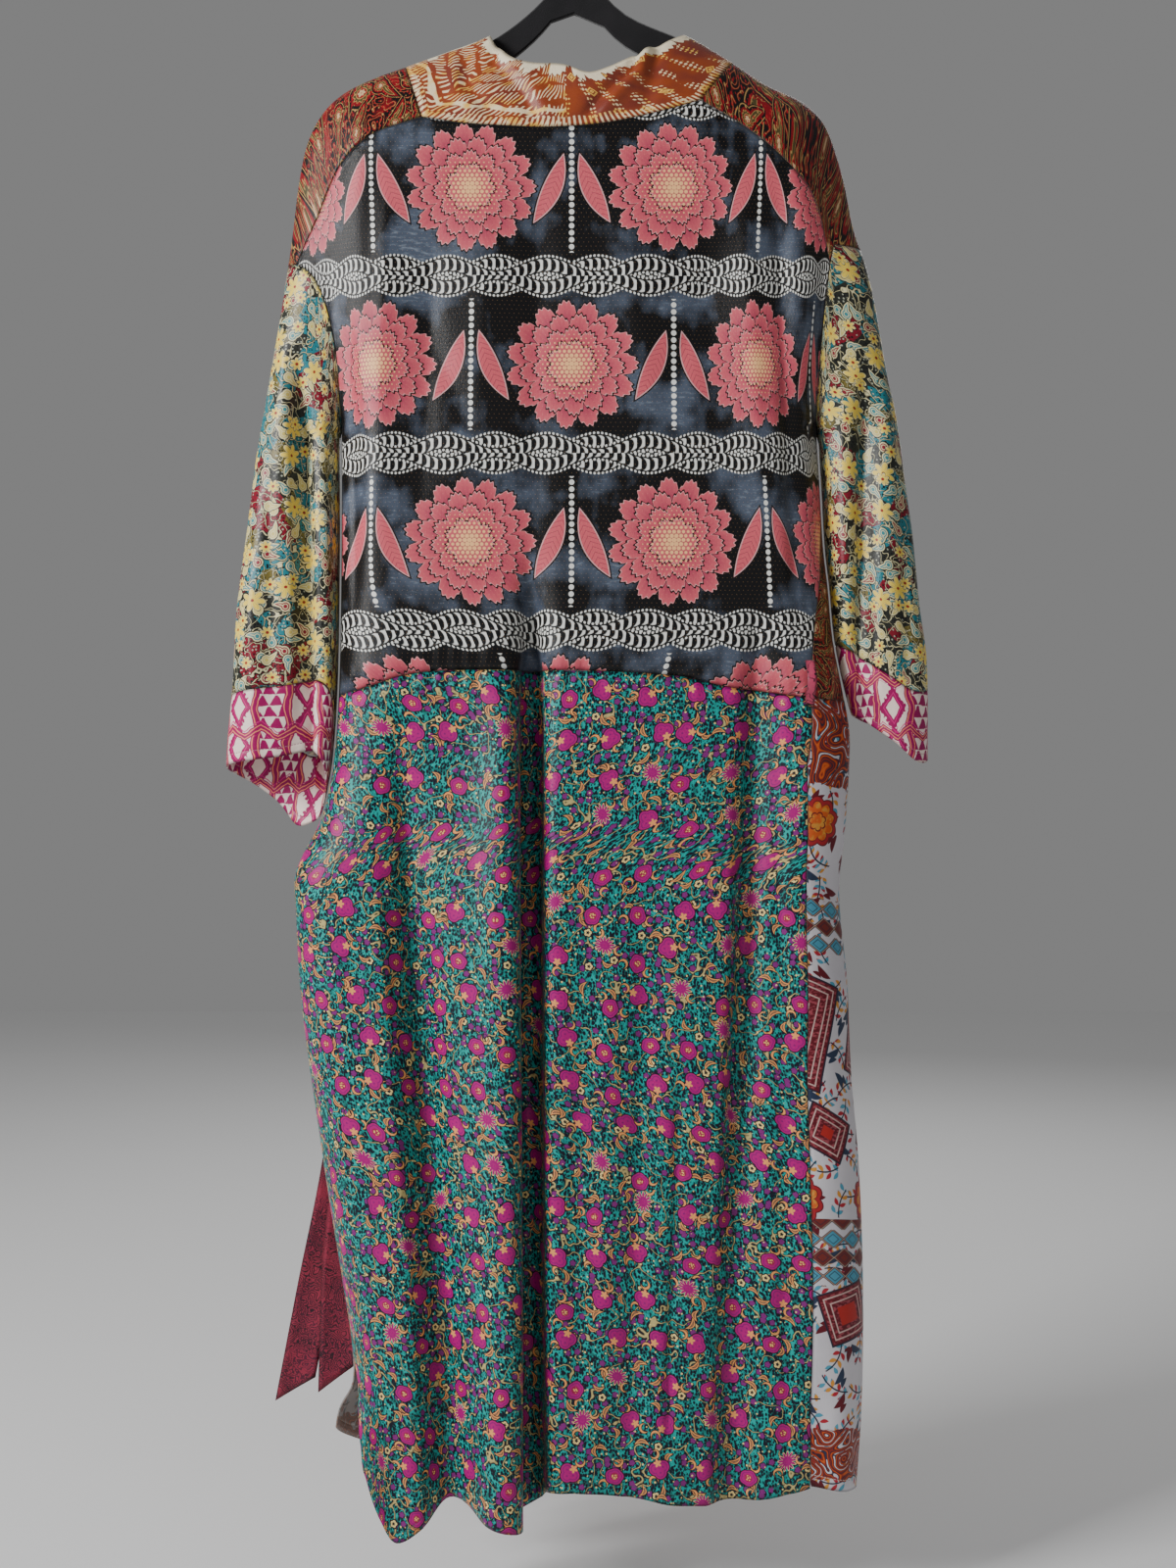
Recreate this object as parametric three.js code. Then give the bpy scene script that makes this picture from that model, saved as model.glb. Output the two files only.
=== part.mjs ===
// A long patchwork silk kimono robe hanging on a thin flocked hanger, in millimetres.
// +Z is up, the robe's back faces -Y, and the origin is where a rail bears inside the hook.
import * as THREE from 'three';

// ---- Driving dimensions ----
const WALL = 1.6; // cloth wall
const SEAM_GAP = 0.3; // between two pieces at a seam
const BACK_DEPTH = 38; // the back stands this far behind the hanger's plane
const FRONT_DEPTH = 52; // the fronts hang this far before it
const SLEEVE_DEPTH = 24; // half thickness of a sleeve
const SHOULDER_ROUND = 110; // how far under the shoulder line the cloth reaches full depth
const ARM_ROUND = 30; // the same, in from a sleeve's outer edge
const SIDE_ROUND = 46; // in from the body's side edge
const INNER_ROUND = 28; // in from a sleeve's inner edge
const SLEEVE_BLEND = 45; // body and sleeve depths blend over this width
const SHOULDER_TIP = -170; // below this the shoulder's round becomes the arm's
const SHOULDER_TURN = 170; // over this height
const UNDERARM = -468; // level of both underarms, where body and sleeves part
const PARTING = 90; // their depths differ in full this far below
const NARROWING = 120; // a sleeve's inner edge sharpens over this height
const CUFF_DEPTH = 62;
const BAND_WIDTH = 58;
const FRONT_GAP = 3; // half the gap between the two front bands
const HANGER_THICK = 6;
const HANGER_DROP = 4.5; // the hanger's top lies this far under the shoulder line
const HANGER_ARM = 23; // height of an arm's section
const HOOK_WIRE = 3.6;
const HOOK_RADIUS = 22;
const BELT_WALL = 1.8;
const LOOP_WIDTH = 8;
const LOOP_CLEAR = 3; // from the cloth's middle to the middle of a loop's sewn end
const LOOP_STAND = 12;

// ---- Outlines, from the hanger's neck outwards and down ----
const OUTLINE = {
  left: [
    { x: 3, z: -51 }, { x: -33, z: -94 }, { x: -72, z: -123 }, { x: -107, z: -137 }, { x: -146, z: -151 },
    { x: -176, z: -162 }, { x: -202, z: -175 }, { x: -219, z: -191 }, { x: -232, z: -216 },
    { x: -240, z: -254 }, { x: -245, z: -297 }, { x: -251, z: -340 }, { x: -264, z: -418 },
    { x: -276, z: -487 }, { x: -285, z: -556 }, { x: -294, z: -625 }, { x: -298, z: -694 },
    { x: -303, z: -754 }, { x: -305, z: -866 },
  ],
  right: [
    { x: 3, z: -51 }, { x: 44, z: -97 }, { x: 100, z: -123 }, { x: 142, z: -148 }, { x: 169, z: -166 },
    { x: 204, z: -183 }, { x: 221, z: -200 }, { x: 232, z: -228 }, { x: 240, z: -258 }, { x: 247, z: -293 },
    { x: 257, z: -323 }, { x: 264, z: -351 }, { x: 276, z: -418 }, { x: 285, z: -461 }, { x: 293, z: -521 },
    { x: 299, z: -564 }, { x: 305, z: -625 }, { x: 311, z: -668 }, { x: 312, z: -754 }, { x: 313, z: -866 },
  ],
};
// The groove over each underarm fades upwards: keep is how far off it still stays.
const GROOVE = {
  left: [
    { x: -212, z: -306, keep: 44 }, { x: -208, z: -366, keep: 22 },
    { x: -204, z: -418, keep: 8 }, { x: -202, z: -468, keep: 0 },
  ],
  right: [
    { x: 219, z: -293, keep: 44 }, { x: 216, z: -366, keep: 24 },
    { x: 214, z: -418, keep: 8 }, { x: 214, z: -468, keep: 0 },
  ],
};
const BODY_EDGE = {
  left: [
    { x: -202, z: -468 }, { x: -202, z: -573 }, { x: -204, z: -694 }, { x: -208, z: -754 },
    { x: -212, z: -780 }, { x: -217, z: -802 }, { x: -225, z: -822 }, { x: -236, z: -842 },
    { x: -243, z: -862 }, { x: -242, z: -892 }, { x: -239, z: -952 }, { x: -231, z: -1021 },
    { x: -221, z: -1090 }, { x: -212, z: -1150 }, { x: -202, z: -1211 }, { x: -193, z: -1275 },
    { x: -193, z: -1308 }, { x: -204, z: -1328 }, { x: -208, z: -1350 }, { x: -208, z: -1400 },
    { x: -206, z: -1450 },
  ],
  right: [
    { x: 214, z: -468 }, { x: 217, z: -520 }, { x: 220, z: -573 }, { x: 224, z: -608 },
    { x: 228, z: -651 }, { x: 236, z: -694 }, { x: 243, z: -733 }, { x: 243, z: -763 },
    { x: 239, z: -823 }, { x: 234, z: -875 }, { x: 241, z: -952 }, { x: 245, z: -1039 },
    { x: 251, z: -1108 }, { x: 255, z: -1211 }, { x: 254, z: -1323 }, { x: 249, z: -1401 },
    { x: 247, z: -1450 },
  ],
};
const SLEEVE_EDGE = {
  left: [
    { x: -205, z: -472 }, { x: -205, z: -573 }, { x: -207, z: -694 }, { x: -211, z: -754 },
    { x: -215, z: -780 }, { x: -220, z: -802 }, { x: -229, z: -822 }, { x: -240, z: -842 },
    { x: -247, z: -866 },
  ],
  right: [
    { x: 217, z: -472 }, { x: 220, z: -520 }, { x: 223, z: -573 }, { x: 227, z: -608 },
    { x: 231, z: -651 }, { x: 239.5, z: -694 }, { x: 246, z: -718 }, { x: 254, z: -740 },
    { x: 264, z: -866 },
  ],
};
// Each side seam lies this far in from the body's edge, on the back.
const SEAM_INSET = {
  left: [
    { z: -468, inset: 0 }, { z: -1200, inset: 0 }, { z: -1280, inset: 2 }, { z: -1308, inset: 8 },
    { z: -1330, inset: 22 }, { z: -1350, inset: 28 }, { z: -1375, inset: 31 }, { z: -1450, inset: 31 },
  ],
  right: [
    { z: -468, inset: 0 }, { z: -540, inset: 0 }, { z: -600, inset: 8 }, { z: -651, inset: 19 },
    { z: -694, inset: 31 }, { z: -763, inset: 41 }, { z: -875, inset: 32 }, { z: -950, inset: 38 },
    { z: -1120, inset: 47 }, { z: -1320, inset: 49 }, { z: -1400, inset: 44 }, { z: -1450, inset: 43 },
  ],
};
const NECK_SEAM = [
  { x: -129, z: -206 }, { x: -95, z: -212 }, { x: -53, z: -215 }, { x: -20, z: -216 }, { x: 31, z: -212 },
  { x: 81, z: -201 }, { x: 111, z: -191 },
];
const COLLAR_FREE = [
  { x: -72, z: -123 }, { x: -66, z: -138 }, { x: -52, z: -153 }, { x: -36, z: -158 }, { x: -7, z: -161 },
  { x: 14, z: -168 }, { x: 31, z: -163 }, { x: 56, z: -150 }, { x: 80, z: -137 }, { x: 94, z: -128 },
  { x: 100, z: -123 },
];
const WAIST_SEAM = [
  { x: -204, z: -703 }, { x: -175, z: -696 }, { x: -137, z: -685 }, { x: -36, z: -682 }, { x: 90, z: -687 },
  { x: 132, z: -696 }, { x: 205, z: -706 },
];
const BACK_HEM = [
  { x: -181, z: -1368 }, { x: -169, z: -1410 }, { x: -156, z: -1432 }, { x: -129, z: -1416 },
  { x: -107, z: -1398 }, { x: -70, z: -1411 }, { x: -41, z: -1418 }, { x: -23, z: -1390 },
  { x: 48, z: -1391 }, { x: 98, z: -1398 }, { x: 157, z: -1396 }, { x: 206, z: -1386 },
];
const FRONT_HEM = {
  left: { centre: -1390, side: -1346, dip: -14 },
  right: { centre: -1398, side: -1384, dip: -9 },
};
const FRONT_WAIST = { centre: -712, left: -703, right: -706 };

// Folds of the back and the fronts: a trough is negative and a ridge positive.
const BACK_FOLDS = [
  { topX: -36, topZ: -560, lowX: -33, lowZ: -1430, rise: -15, half: 15, grow: 120 },
  { topX: -62, topZ: -700, lowX: -58, lowZ: -1430, rise: 10, half: 26, grow: 200 },
  { topX: -150, topZ: -700, lowX: -104, lowZ: -1400, rise: -9, half: 22, grow: 300 },
  { topX: 161, topZ: -640, lowX: 132, lowZ: -1400, rise: -8, half: 24, grow: 150 },
  { topX: 90, topZ: -760, lowX: 60, lowZ: -1400, rise: 5, half: 34, grow: 400 },
];
const FRONT_FOLDS = [
  { topX: -128, topZ: -480, lowX: -120, lowZ: -1400, rise: -8, half: 26, grow: 250 },
  { topX: 120, topZ: -430, lowX: 132, lowZ: -1400, rise: -10, half: 24, grow: 250 },
  { topX: 196, topZ: -640, lowX: 206, lowZ: -1400, rise: 5, half: 20, grow: 200 },
];
const SLEEVE_FOLDS = [
  { topX: -238, topZ: -400, lowX: -238, lowZ: -770, rise: -7, half: 13, grow: 90 },
  { topX: 262, topZ: -380, lowX: 262, lowZ: -740, rise: -6, half: 14, grow: 90 },
];

// ---- How finely each seam is cut into straight steps ----
const ARMHOLE_STEPS = 10;
const STRIP_STEPS = { left: 3, right: 7 }; // of the armhole, on the back, next to the paisley front
const SHOULDER_STEPS = { left: 9, right: 12 };
const SIDE_STEPS = { left: 7, right: 11 }; // chosen so that both sides of the back have as many
const NECK_STEPS = 10;
const SKIRT_STEPS = 13;
const BAND_STEPS = 3;
const BAND_SETTLE = { width: 9, slope: 8 }; // rows over which a band reaches its own width and hangs level
const EDGE_COLUMN = { left: 9, right: 8 }; // the front's column that runs down the body's edge
const SLEEVE_STEPS = 11;
const CUFF_STEPS = 3;
const UNDERARM_RELIEF = 2; // the sleeve's corner stands this far off the body's
const ARMHOLE = {
  left: { top: -327, level: 0, power: 3.7, x: -202, z: UNDERARM },
  right: { top: -313, level: 0.6, power: 1.6, x: 214, z: UNDERARM },
};
// The cuff's open edge by turn: from its inner edge over the front (-1) to that over the back (1).
const CUFF_HEM = {
  left: [
    { turn: -1, z: -806 }, { turn: -0.85, z: -813 }, { turn: -0.68, z: -817 }, { turn: -0.45, z: -792 },
    { turn: -0.25, z: -776 }, { turn: 0, z: -766 }, { turn: 0.5, z: -757 }, { turn: 0.75, z: -752 },
    { turn: 0.9, z: -771 }, { turn: 1, z: -806 },
  ],
  right: [
    { turn: -1, z: -718 }, { turn: -0.5, z: -733 }, { turn: 0, z: -757 }, { turn: 0.3, z: -761 },
    { turn: 0.57, z: -741 }, { turn: 0.8, z: -725 }, { turn: 1, z: -718 },
  ],
};

const SIDES = ['left', 'right'];
const OUTWARD = { left: -1, right: 1 }; // the way along x from the middle to each side
const mix = (a, b, t) => a + (b - a) * t;
const clamp = (value, low, high) => Math.min(Math.max(value, low), high);
const ease = (t) => { const c = clamp(t, 0, 1); return c * c * (3 - 2 * c); };

/** A smooth curve through rows of x and z, as many short chords. */
function chords(rows, count) {
  const points = rows.map((row) => new THREE.Vector3(row.x, row.keep ?? 0, row.z));
  return new THREE.CatmullRomCurve3(points, false, 'centripetal')
    .getPoints(count).map((p) => ({ x: p.x, z: p.z, keep: p.y }));
}

/** Reads one column of a table at a place in another, which runs one way. */
function read(rows, key, at, column) {
  const rising = rows[rows.length - 1][key] > rows[0][key];
  let i = 0;
  while (i < rows.length - 2 && (rising ? rows[i + 1][key] < at : rows[i + 1][key] > at)) i += 1;
  const span = rows[i + 1][key] - rows[i][key];
  const t = clamp(span === 0 ? 0 : (at - rows[i][key]) / span, 0, 1);
  return mix(rows[i][column], rows[i + 1][column], t);
}

/** Evenly spaced points along chords, by their length. */
function spaced(line, steps, shape = (t) => t) {
  const far = [0];
  for (let i = 1; i < line.length; i += 1) {
    far.push(far[i - 1] + Math.hypot(line[i].x - line[i - 1].x, line[i].z - line[i - 1].z));
  }
  const rows = line.map((p, i) => ({ x: p.x, z: p.z, far: far[i] }));
  return Array.from({ length: steps + 1 }, (_, i) => {
    const at = far[far.length - 1] * shape(i / steps);
    return { x: read(rows, 'far', at, 'x'), z: read(rows, 'far', at, 'z') };
  });
}

const lines = (table, count) => Object.fromEntries(SIDES.map((side) => [side, chords(table[side], count)]));
const outline = lines(OUTLINE, 90);
const groove = lines(GROOVE, 12);
const bodyEdge = lines(BODY_EDGE, 70);
const sleeveEdge = lines(SLEEVE_EDGE, 30);

/** For each chord: how far a point is from it, on which side, and how far along it the foot lies. */
function nearness(line, x, z) {
  return line.slice(1).map((b, i) => {
    const a = line[i];
    const dx = b.x - a.x;
    const dz = b.z - a.z;
    const t = clamp(((x - a.x) * dx + (z - a.z) * dz) / (dx * dx + dz * dz), 0, 1);
    const far = Math.hypot(x - a.x - t * dx, z - a.z - t * dz);
    return { far, across: dx * (z - a.z) - dz * (x - a.x), keep: mix(a.keep, b.keep, t) };
  });
}

/** Distance from a point to an edge, positive on its inner side, which sign gives. */
function reach(line, x, z, sign) {
  const best = nearness(line, x, z).reduce((a, b) => (b.far < a.far ? b : a));
  return sign * best.across < 0 ? -best.far : best.far;
}

/** Distance to the slit between body and sleeve, or to the groove over it. */
function slit(side, part, x, z) {
  if (z > ARMHOLE[side].z - 1) return Math.min(...nearness(groove[side], x, z).map((n) => n.far + n.keep));
  const inward = part === 'body' ? -OUTWARD[side] : OUTWARD[side];
  return reach((part === 'body' ? bodyEdge : sleeveEdge)[side], x, z, inward);
}

const rounding = (s) => 1 - (1 - clamp(s, -0.5, 1)) ** 2;

/** Sum of the folds at a place: each is a bell across its line, and grows from its top. */
function foldSum(folds, x, z) {
  return folds.reduce((sum, fold) => {
    const t = (fold.topZ - z) / (fold.topZ - fold.lowZ);
    const away = (x - mix(fold.topX, fold.lowX, clamp(t, 0, 1.1))) / fold.half;
    return sum + fold.rise * Math.exp(-away * away) * ease((fold.topZ - z) / fold.grow);
  }, 0);
}

/** The square of the cloth's distance from the hanger's plane. */
function puff(part, face, x, z) {
  let whole = 1;
  let armward = 0;
  SIDES.forEach((side) => {
    const shoulder = side === 'left' ? x < 3 : x > 3;
    if (shoulder) {
      const round = mix(SHOULDER_ROUND, ARM_ROUND, ease((SHOULDER_TIP - z) / SHOULDER_TURN));
      whole *= rounding(reach(outline[side], x, z, -OUTWARD[side]) / round);
      armward = ease(((x - ARMHOLE[side].x) * OUTWARD[side]) / SLEEVE_BLEND + 0.5);
      const narrow = part === 'sleeve' ? ease((ARMHOLE[side].z - z) / NARROWING) : 0;
      whole *= rounding(slit(side, part, x, z) / mix(SIDE_ROUND, INNER_ROUND, narrow));
    }
  });
  const body = face < 0
    ? BACK_DEPTH + foldSum(BACK_FOLDS, x, z)
    : FRONT_DEPTH + foldSum(FRONT_FOLDS, x, z);
  const arm = SLEEVE_DEPTH + foldSum(SLEEVE_FOLDS, x, z);
  const low = ease((UNDERARM - z) / PARTING);
  const share = part === 'sleeve' ? mix(armward, 1, low) : mix(armward, 0, low);
  return mix(body, arm, share) ** 2 * whole;
}

/** A point of the cloth and its outward direction. Face is -1 on the back, 1 on the front, 0 at an edge. */
function onCloth(part, { x, z, face }) {
  const step = 0.4;
  const towards = face || 1;
  const y = face * Math.sqrt(Math.max(puff(part, towards, x, z), 0));
  const slopeX = (puff(part, towards, x + step, z) - puff(part, towards, x - step, z)) / (2 * step);
  const slopeZ = (puff(part, towards, x, z + step) - puff(part, towards, x, z - step)) / (2 * step);
  const normal = new THREE.Vector3(-slopeX, 2 * y, -slopeZ);
  const under = ARMHOLE[x < 0 ? 'left' : 'right'];
  if (Math.hypot(x - under.x, z - under.z) < 1) normal.set(x < 0 ? -1 : 1, 0, -1.5);
  return { point: new THREE.Vector3(x, y, z), normal: normal.normalize() };
}

/** Closes a grid of points and directions into one wall, pulled back at its seams. */
function wallGeometry(grid, { round = false, thick = WALL } = {}) {
  const rows = grid.length;
  const columns = grid[0].length;
  const column = (j) => (round ? (j + columns) % columns : clamp(j, 0, columns - 1));
  const inwards = (cell, next, before, after) => {
    const edge = after.point.clone().sub(before.point).normalize();
    const way = next.point.clone().sub(cell.point);
    const side = edge.clone().cross(cell.normal).normalize();
    return side.multiplyScalar((Math.sign(way.dot(side)) * SEAM_GAP) / 2);
  };
  const moved = grid.map((row, i) => row.map((cell, j) => {
    const point = cell.point.clone();
    const beside = [row[column(j - 1)], row[column(j + 1)]];
    const above = [grid[Math.max(i - 1, 0)][j], grid[Math.min(i + 1, rows - 1)][j]];
    if (i === 0) point.add(inwards(cell, grid[1][j], ...beside));
    if (i === rows - 1) point.add(inwards(cell, grid[rows - 2][j], ...beside));
    if (!round && j === 0) point.add(inwards(cell, row[1], ...above));
    if (!round && j === columns - 1) point.add(inwards(cell, row[columns - 2], ...above));
    return { point, normal: cell.normal };
  }));
  const vertices = [];
  [0.5, -0.5].forEach((share) => moved.forEach((row) => row.forEach((cell) => {
    vertices.push(...cell.point.clone().addScaledVector(cell.normal, share * thick).toArray());
  })));
  const at = (layer, i, j) => layer * rows * columns + i * columns + (round ? (j + columns) % columns : j);
  const index = [];
  const quad = (a, b, c, d) => index.push(a, b, c, a, c, d);
  const last = round ? columns : columns - 1;
  for (let i = 0; i < rows - 1; i += 1) {
    for (let j = 0; j < last; j += 1) {
      quad(at(0, i, j), at(0, i + 1, j), at(0, i + 1, j + 1), at(0, i, j + 1));
      quad(at(1, i, j), at(1, i, j + 1), at(1, i + 1, j + 1), at(1, i + 1, j));
    }
  }
  for (let j = 0; j < last; j += 1) {
    quad(at(0, 0, j), at(0, 0, j + 1), at(1, 0, j + 1), at(1, 0, j));
    quad(at(0, rows - 1, j + 1), at(0, rows - 1, j), at(1, rows - 1, j), at(1, rows - 1, j + 1));
  }
  if (!round) {
    for (let i = 0; i < rows - 1; i += 1) {
      quad(at(0, i + 1, 0), at(0, i, 0), at(1, i, 0), at(1, i + 1, 0));
      quad(at(0, i, last), at(0, i + 1, last), at(1, i + 1, last), at(1, i, last));
    }
  }
  return outward(vertices, index);
}

/** Turns the faces round where they enclose a negative volume. */
function outward(vertices, index) {
  let volume = 0;
  const corner = (n) => new THREE.Vector3().fromArray(vertices, index[n] * 3);
  for (let n = 0; n < index.length; n += 3) volume += corner(n).dot(corner(n + 1).cross(corner(n + 2)));
  if (volume < 0) index.reverse();
  const geometry = new THREE.BufferGeometry();
  geometry.setAttribute('position', new THREE.Float32BufferAttribute(vertices, 3));
  geometry.setIndex(index);
  geometry.computeVertexNormals();
  return geometry;
}

/** Fills a patch between four boundary rows of x and z, each end shared (a Coons patch). */
function patch(top, bottom, first, last) {
  const rows = first.length - 1;
  const columns = top.length - 1;
  return first.map((_, i) => top.map((__, j) => {
    const v = i / rows;
    const u = j / columns;
    const value = (key) => mix(top[j][key], bottom[j][key], v) + mix(first[i][key], last[i][key], u)
      - mix(mix(top[0][key], top[columns][key], u), mix(bottom[0][key], bottom[columns][key], u), v);
    return { x: value('x'), z: value('z') };
  }));
}

// ---- Seams that two pieces share ----
const edgeX = (side, z) => read(bodyEdge[side], 'z', z, 'x');
const seamX = (side, z) => edgeX(side, z) - OUTWARD[side] * read(SEAM_INSET[side], 'z', z, 'inset');

function armhole(side, turn) {
  const { top, level, power, x, z } = ARMHOLE[side];
  const height = mix(top, z, Math.max((Math.abs(turn) - level) / (1 - level), 0) ** power);
  const outer = read(outline[side], 'z', height, 'x');
  return { x: mix(outer, x, (1 - Math.cos(Math.PI * turn)) / 2), z: height };
}

/** The armhole's steps on one face, from one step to another, with the underarm as its last. */
function armholeSteps(side, from, to) {
  const points = [];
  for (let k = from; k <= to; k += 1) points.push(armhole(side, k / ARMHOLE_STEPS));
  return points;
}

const waistCorner = (side) => ({ x: seamX(side, FRONT_WAIST[side]), z: FRONT_WAIST[side] });

/** The side seam from the underarm to the waist, on the back. */
function sideSeam(side) {
  const start = ARMHOLE[side].z;
  return Array.from({ length: SIDE_STEPS[side] }, (_, i) => {
    const z = mix(start, FRONT_WAIST[side], (i + 1) / SIDE_STEPS[side]);
    return { x: seamX(side, z), z };
  });
}

const neck = spaced(chords(NECK_SEAM, 40), NECK_STEPS);
const slowStart = (t) => 1 - Math.cos((Math.PI / 2) * t);
const onRidge = (side, x) => ({ x, z: read(outline[side], 'x', x, 'z') });

/** The shoulder line between two places along x. */
function ridge(side, from, to, steps) {
  const between = outline[side].filter((p) => (p.x - from) * (p.x - to) < 0);
  return spaced([onRidge(side, from), ...between, onRidge(side, to)], steps);
}

const COLLAR_OUT = { left: -146, right: 142 };
const COLLAR_IN = { left: -72, right: 100 };
const SHOULDER_SEAM = {
  left: [{ x: -171, z: -221 }, { x: -200, z: -246 }, { x: -222, z: -292 }],
  right: [{ x: 149, z: -214 }, { x: 182, z: -242 }, { x: 208, z: -272 }],
};

/** The seam over the back of each shoulder, from the neck to the armhole. */
function shoulderSeam(side) {
  const start = side === 'left' ? NECK_SEAM[0] : NECK_SEAM[NECK_SEAM.length - 1];
  const end = armhole(side, STRIP_STEPS[side] / ARMHOLE_STEPS);
  return spaced(chords([start, ...SHOULDER_SEAM[side], end], 40), SHOULDER_STEPS[side]);
}

/** The collar's end on the back of the shoulder, from the shoulder line to the neck seam. */
function collarEnd(side) {
  const steps = STRIP_STEPS[side];
  const start = side === 'left' ? neck[0] : neck[NECK_STEPS];
  const top = onRidge(side, COLLAR_OUT[side]);
  return Array.from({ length: steps + 1 }, (_, i) => {
    const t = slowStart(i / steps);
    return { x: mix(top.x, start.x, t), z: mix(top.z, start.z, t) };
  });
}

const COLUMN_KEEP = 4; // least width of a column next to a side seam
const SEAM_BOW = 12; // the band seam bows this far outwards between neck and waist
const SEAM_SPREAD = 10; // and stands this much further out at the hem
const SEAM_FALL = 700; // over this height below the waist
const edgeSpread = (t) => 0.3 * t + 0.7 * (1 - Math.cos(Math.PI * t)) / 2;

/** The front's inner seam, along the band, from the shoulder line to the waist. */
function frontSeam(side) {
  const steps = ARMHOLE_STEPS + SIDE_STEPS[side];
  const top = onRidge(side, COLLAR_OUT[side]);
  const waist = { x: OUTWARD[side] * (BAND_WIDTH + FRONT_GAP) + 3, z: FRONT_WAIST.centre };
  return Array.from({ length: steps + 1 }, (_, i) => {
    const t = slowStart(i / steps);
    const bow = Math.sin(Math.PI * t) * SEAM_BOW * OUTWARD[side];
    return { x: mix(top.x, waist.x, t) + bow, z: mix(top.z, waist.z, t) };
  });
}

/** One column of a front panel: x past the body's edge comes round on to the back. */
function frontColumn(side, k, z, innerX) {
  const edge = edgeX(side, z);
  const round = 2 * edge - seamX(side, z);
  const at = EDGE_COLUMN[side];
  const after = SHOULDER_STEPS[side] - at;
  if (k <= at) return mix(innerX, edge, Math.sin((Math.PI / 2) * (k / at)));
  return mix(edge, round, slowStart((k - at) / after));
}

function facing(side, { x, z }, low) {
  if (!low) return { x, z, face: 1 };
  const edge = edgeX(side, z);
  const beyond = (x - edge) * OUTWARD[side];
  if (Math.abs(beyond) < 0.01) return { x: edge, z, face: 0 };
  return beyond > 0 ? { x: 2 * edge - x, z, face: -1 } : { x, z, face: 1 };
}

/** Keeps a panel's inner columns clear of its side seams below the underarm. */
function keptInside(grid, low, high) {
  const last = grid[0].length - 1;
  return grid.map((row) => row.map(({ x, z }, j) => {
    if (j === 0 || j === last) return { x, z };
    const floor = low(z) + COLUMN_KEEP * j;
    const ceiling = high(z) - COLUMN_KEEP * (last - j);
    return { x: clamp(x, floor, ceiling), z };
  }));
}

const laid = (part, grid) => grid.map((row) => row.map((cell) => onCloth(part, cell)));
const onBack = (points) => points.map(({ x, z }) => ({ x, z, face: -1 }));

// ---- Pieces ----
function waistRow() {
  const left = waistCorner('left');
  const right = waistCorner('right');
  const columns = SHOULDER_STEPS.left + NECK_STEPS + SHOULDER_STEPS.right;
  const line = chords(WAIST_SEAM, 40);
  return Array.from({ length: columns + 1 }, (_, j) => {
    const x = mix(left.x, right.x, edgeSpread(j / columns));
    if (j === 0) return left;
    return j === columns ? right : { x, z: read(line, 'x', x, 'z') };
  });
}

function backUpper() {
  const top = [
    ...shoulderSeam('left').reverse(), ...neck.slice(1), ...shoulderSeam('right').slice(1),
  ];
  const side = (name) => [...armholeSteps(name, STRIP_STEPS[name], ARMHOLE_STEPS), ...sideSeam(name)];
  const within = (name) => (z) => (z < ARMHOLE[name].z ? seamX(name, z) : OUTWARD[name] * Infinity);
  const panel = patch(top, waistRow(), side('left'), side('right'));
  const cells = keptInside(panel, within('left'), within('right')).map(onBack);
  cells.forEach((row, i) => {
    if (i >= ARMHOLE_STEPS - STRIP_STEPS.left) row[0].face = 0;
    if (i === ARMHOLE_STEPS - STRIP_STEPS.right) row[row.length - 1].face = 0;
  });
  return wallGeometry(laid('body', cells));
}

function backLower() {
  const waist = waistRow();
  const columns = waist.length - 1;
  const hem = chords(BACK_HEM, 60);
  const left = BACK_HEM[0];
  const right = BACK_HEM[BACK_HEM.length - 1];
  const level = (j) => read(hem, 'x', mix(left.x, right.x, edgeSpread(j / columns)), 'z');
  const cells = Array.from({ length: SKIRT_STEPS + 1 }, (_, i) => waist.map((start, j) => {
    const z = mix(start.z, level(j), i / SKIRT_STEPS);
    const x = mix(seamX('left', z), seamX('right', z), edgeSpread(j / columns));
    const atEdge = j === 0 && Math.abs(x - edgeX('left', z)) < 0.01;
    return { x, z, face: atEdge ? 0 : -1 };
  }));
  return wallGeometry(laid('body', cells));
}

/** The front's waist seam, from the band to the side seam. */
function frontWaist(side) {
  const start = frontSeam(side).pop();
  const steps = SHOULDER_STEPS[side];
  return Array.from({ length: steps + 1 }, (_, k) => {
    const z = mix(start.z, FRONT_WAIST[side], k / steps);
    return { x: frontColumn(side, k, z, start.x), z };
  });
}

function frontUpper(side) {
  const strip = STRIP_STEPS[side];
  const seam = shoulderSeam(side);
  const over = ridge(side, COLLAR_OUT[side], armhole(side, 0).x, SHOULDER_STEPS[side]);
  over[over.length - 1] = armhole(side, 0);
  const strips = [collarEnd(side).reverse(), armholeSteps(side, 0, strip).reverse()];
  const near = patch(seam, over, ...strips).map(onBack);
  near[near.length - 1].forEach((cell) => { cell.face = 0; });
  const seamBelow = sideSeam(side).map(({ z }) => ({ x: 2 * edgeX(side, z) - seamX(side, z), z }));
  const outer = [...armholeSteps(side, 0, ARMHOLE_STEPS), ...seamBelow];
  const mirrored = (rows) => rows.map((row) => row.map(({ x, z }) => ({ x: x * OUTWARD[side], z })));
  const past = (z) => (z < UNDERARM ? OUTWARD[side] * (2 * edgeX(side, z) - seamX(side, z)) : Infinity);
  const whole = mirrored(patch(over, frontWaist(side), frontSeam(side), outer));
  const low = (i, z) => i >= ARMHOLE_STEPS && z < UNDERARM + 0.5;
  const far = mirrored(keptInside(whole, () => -Infinity, past))
    .map((row, i) => row.map((cell) => facing(side, cell, low(i, cell.z)))).slice(1);
  return wallGeometry(laid('body', [...near, ...far]));
}

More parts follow.
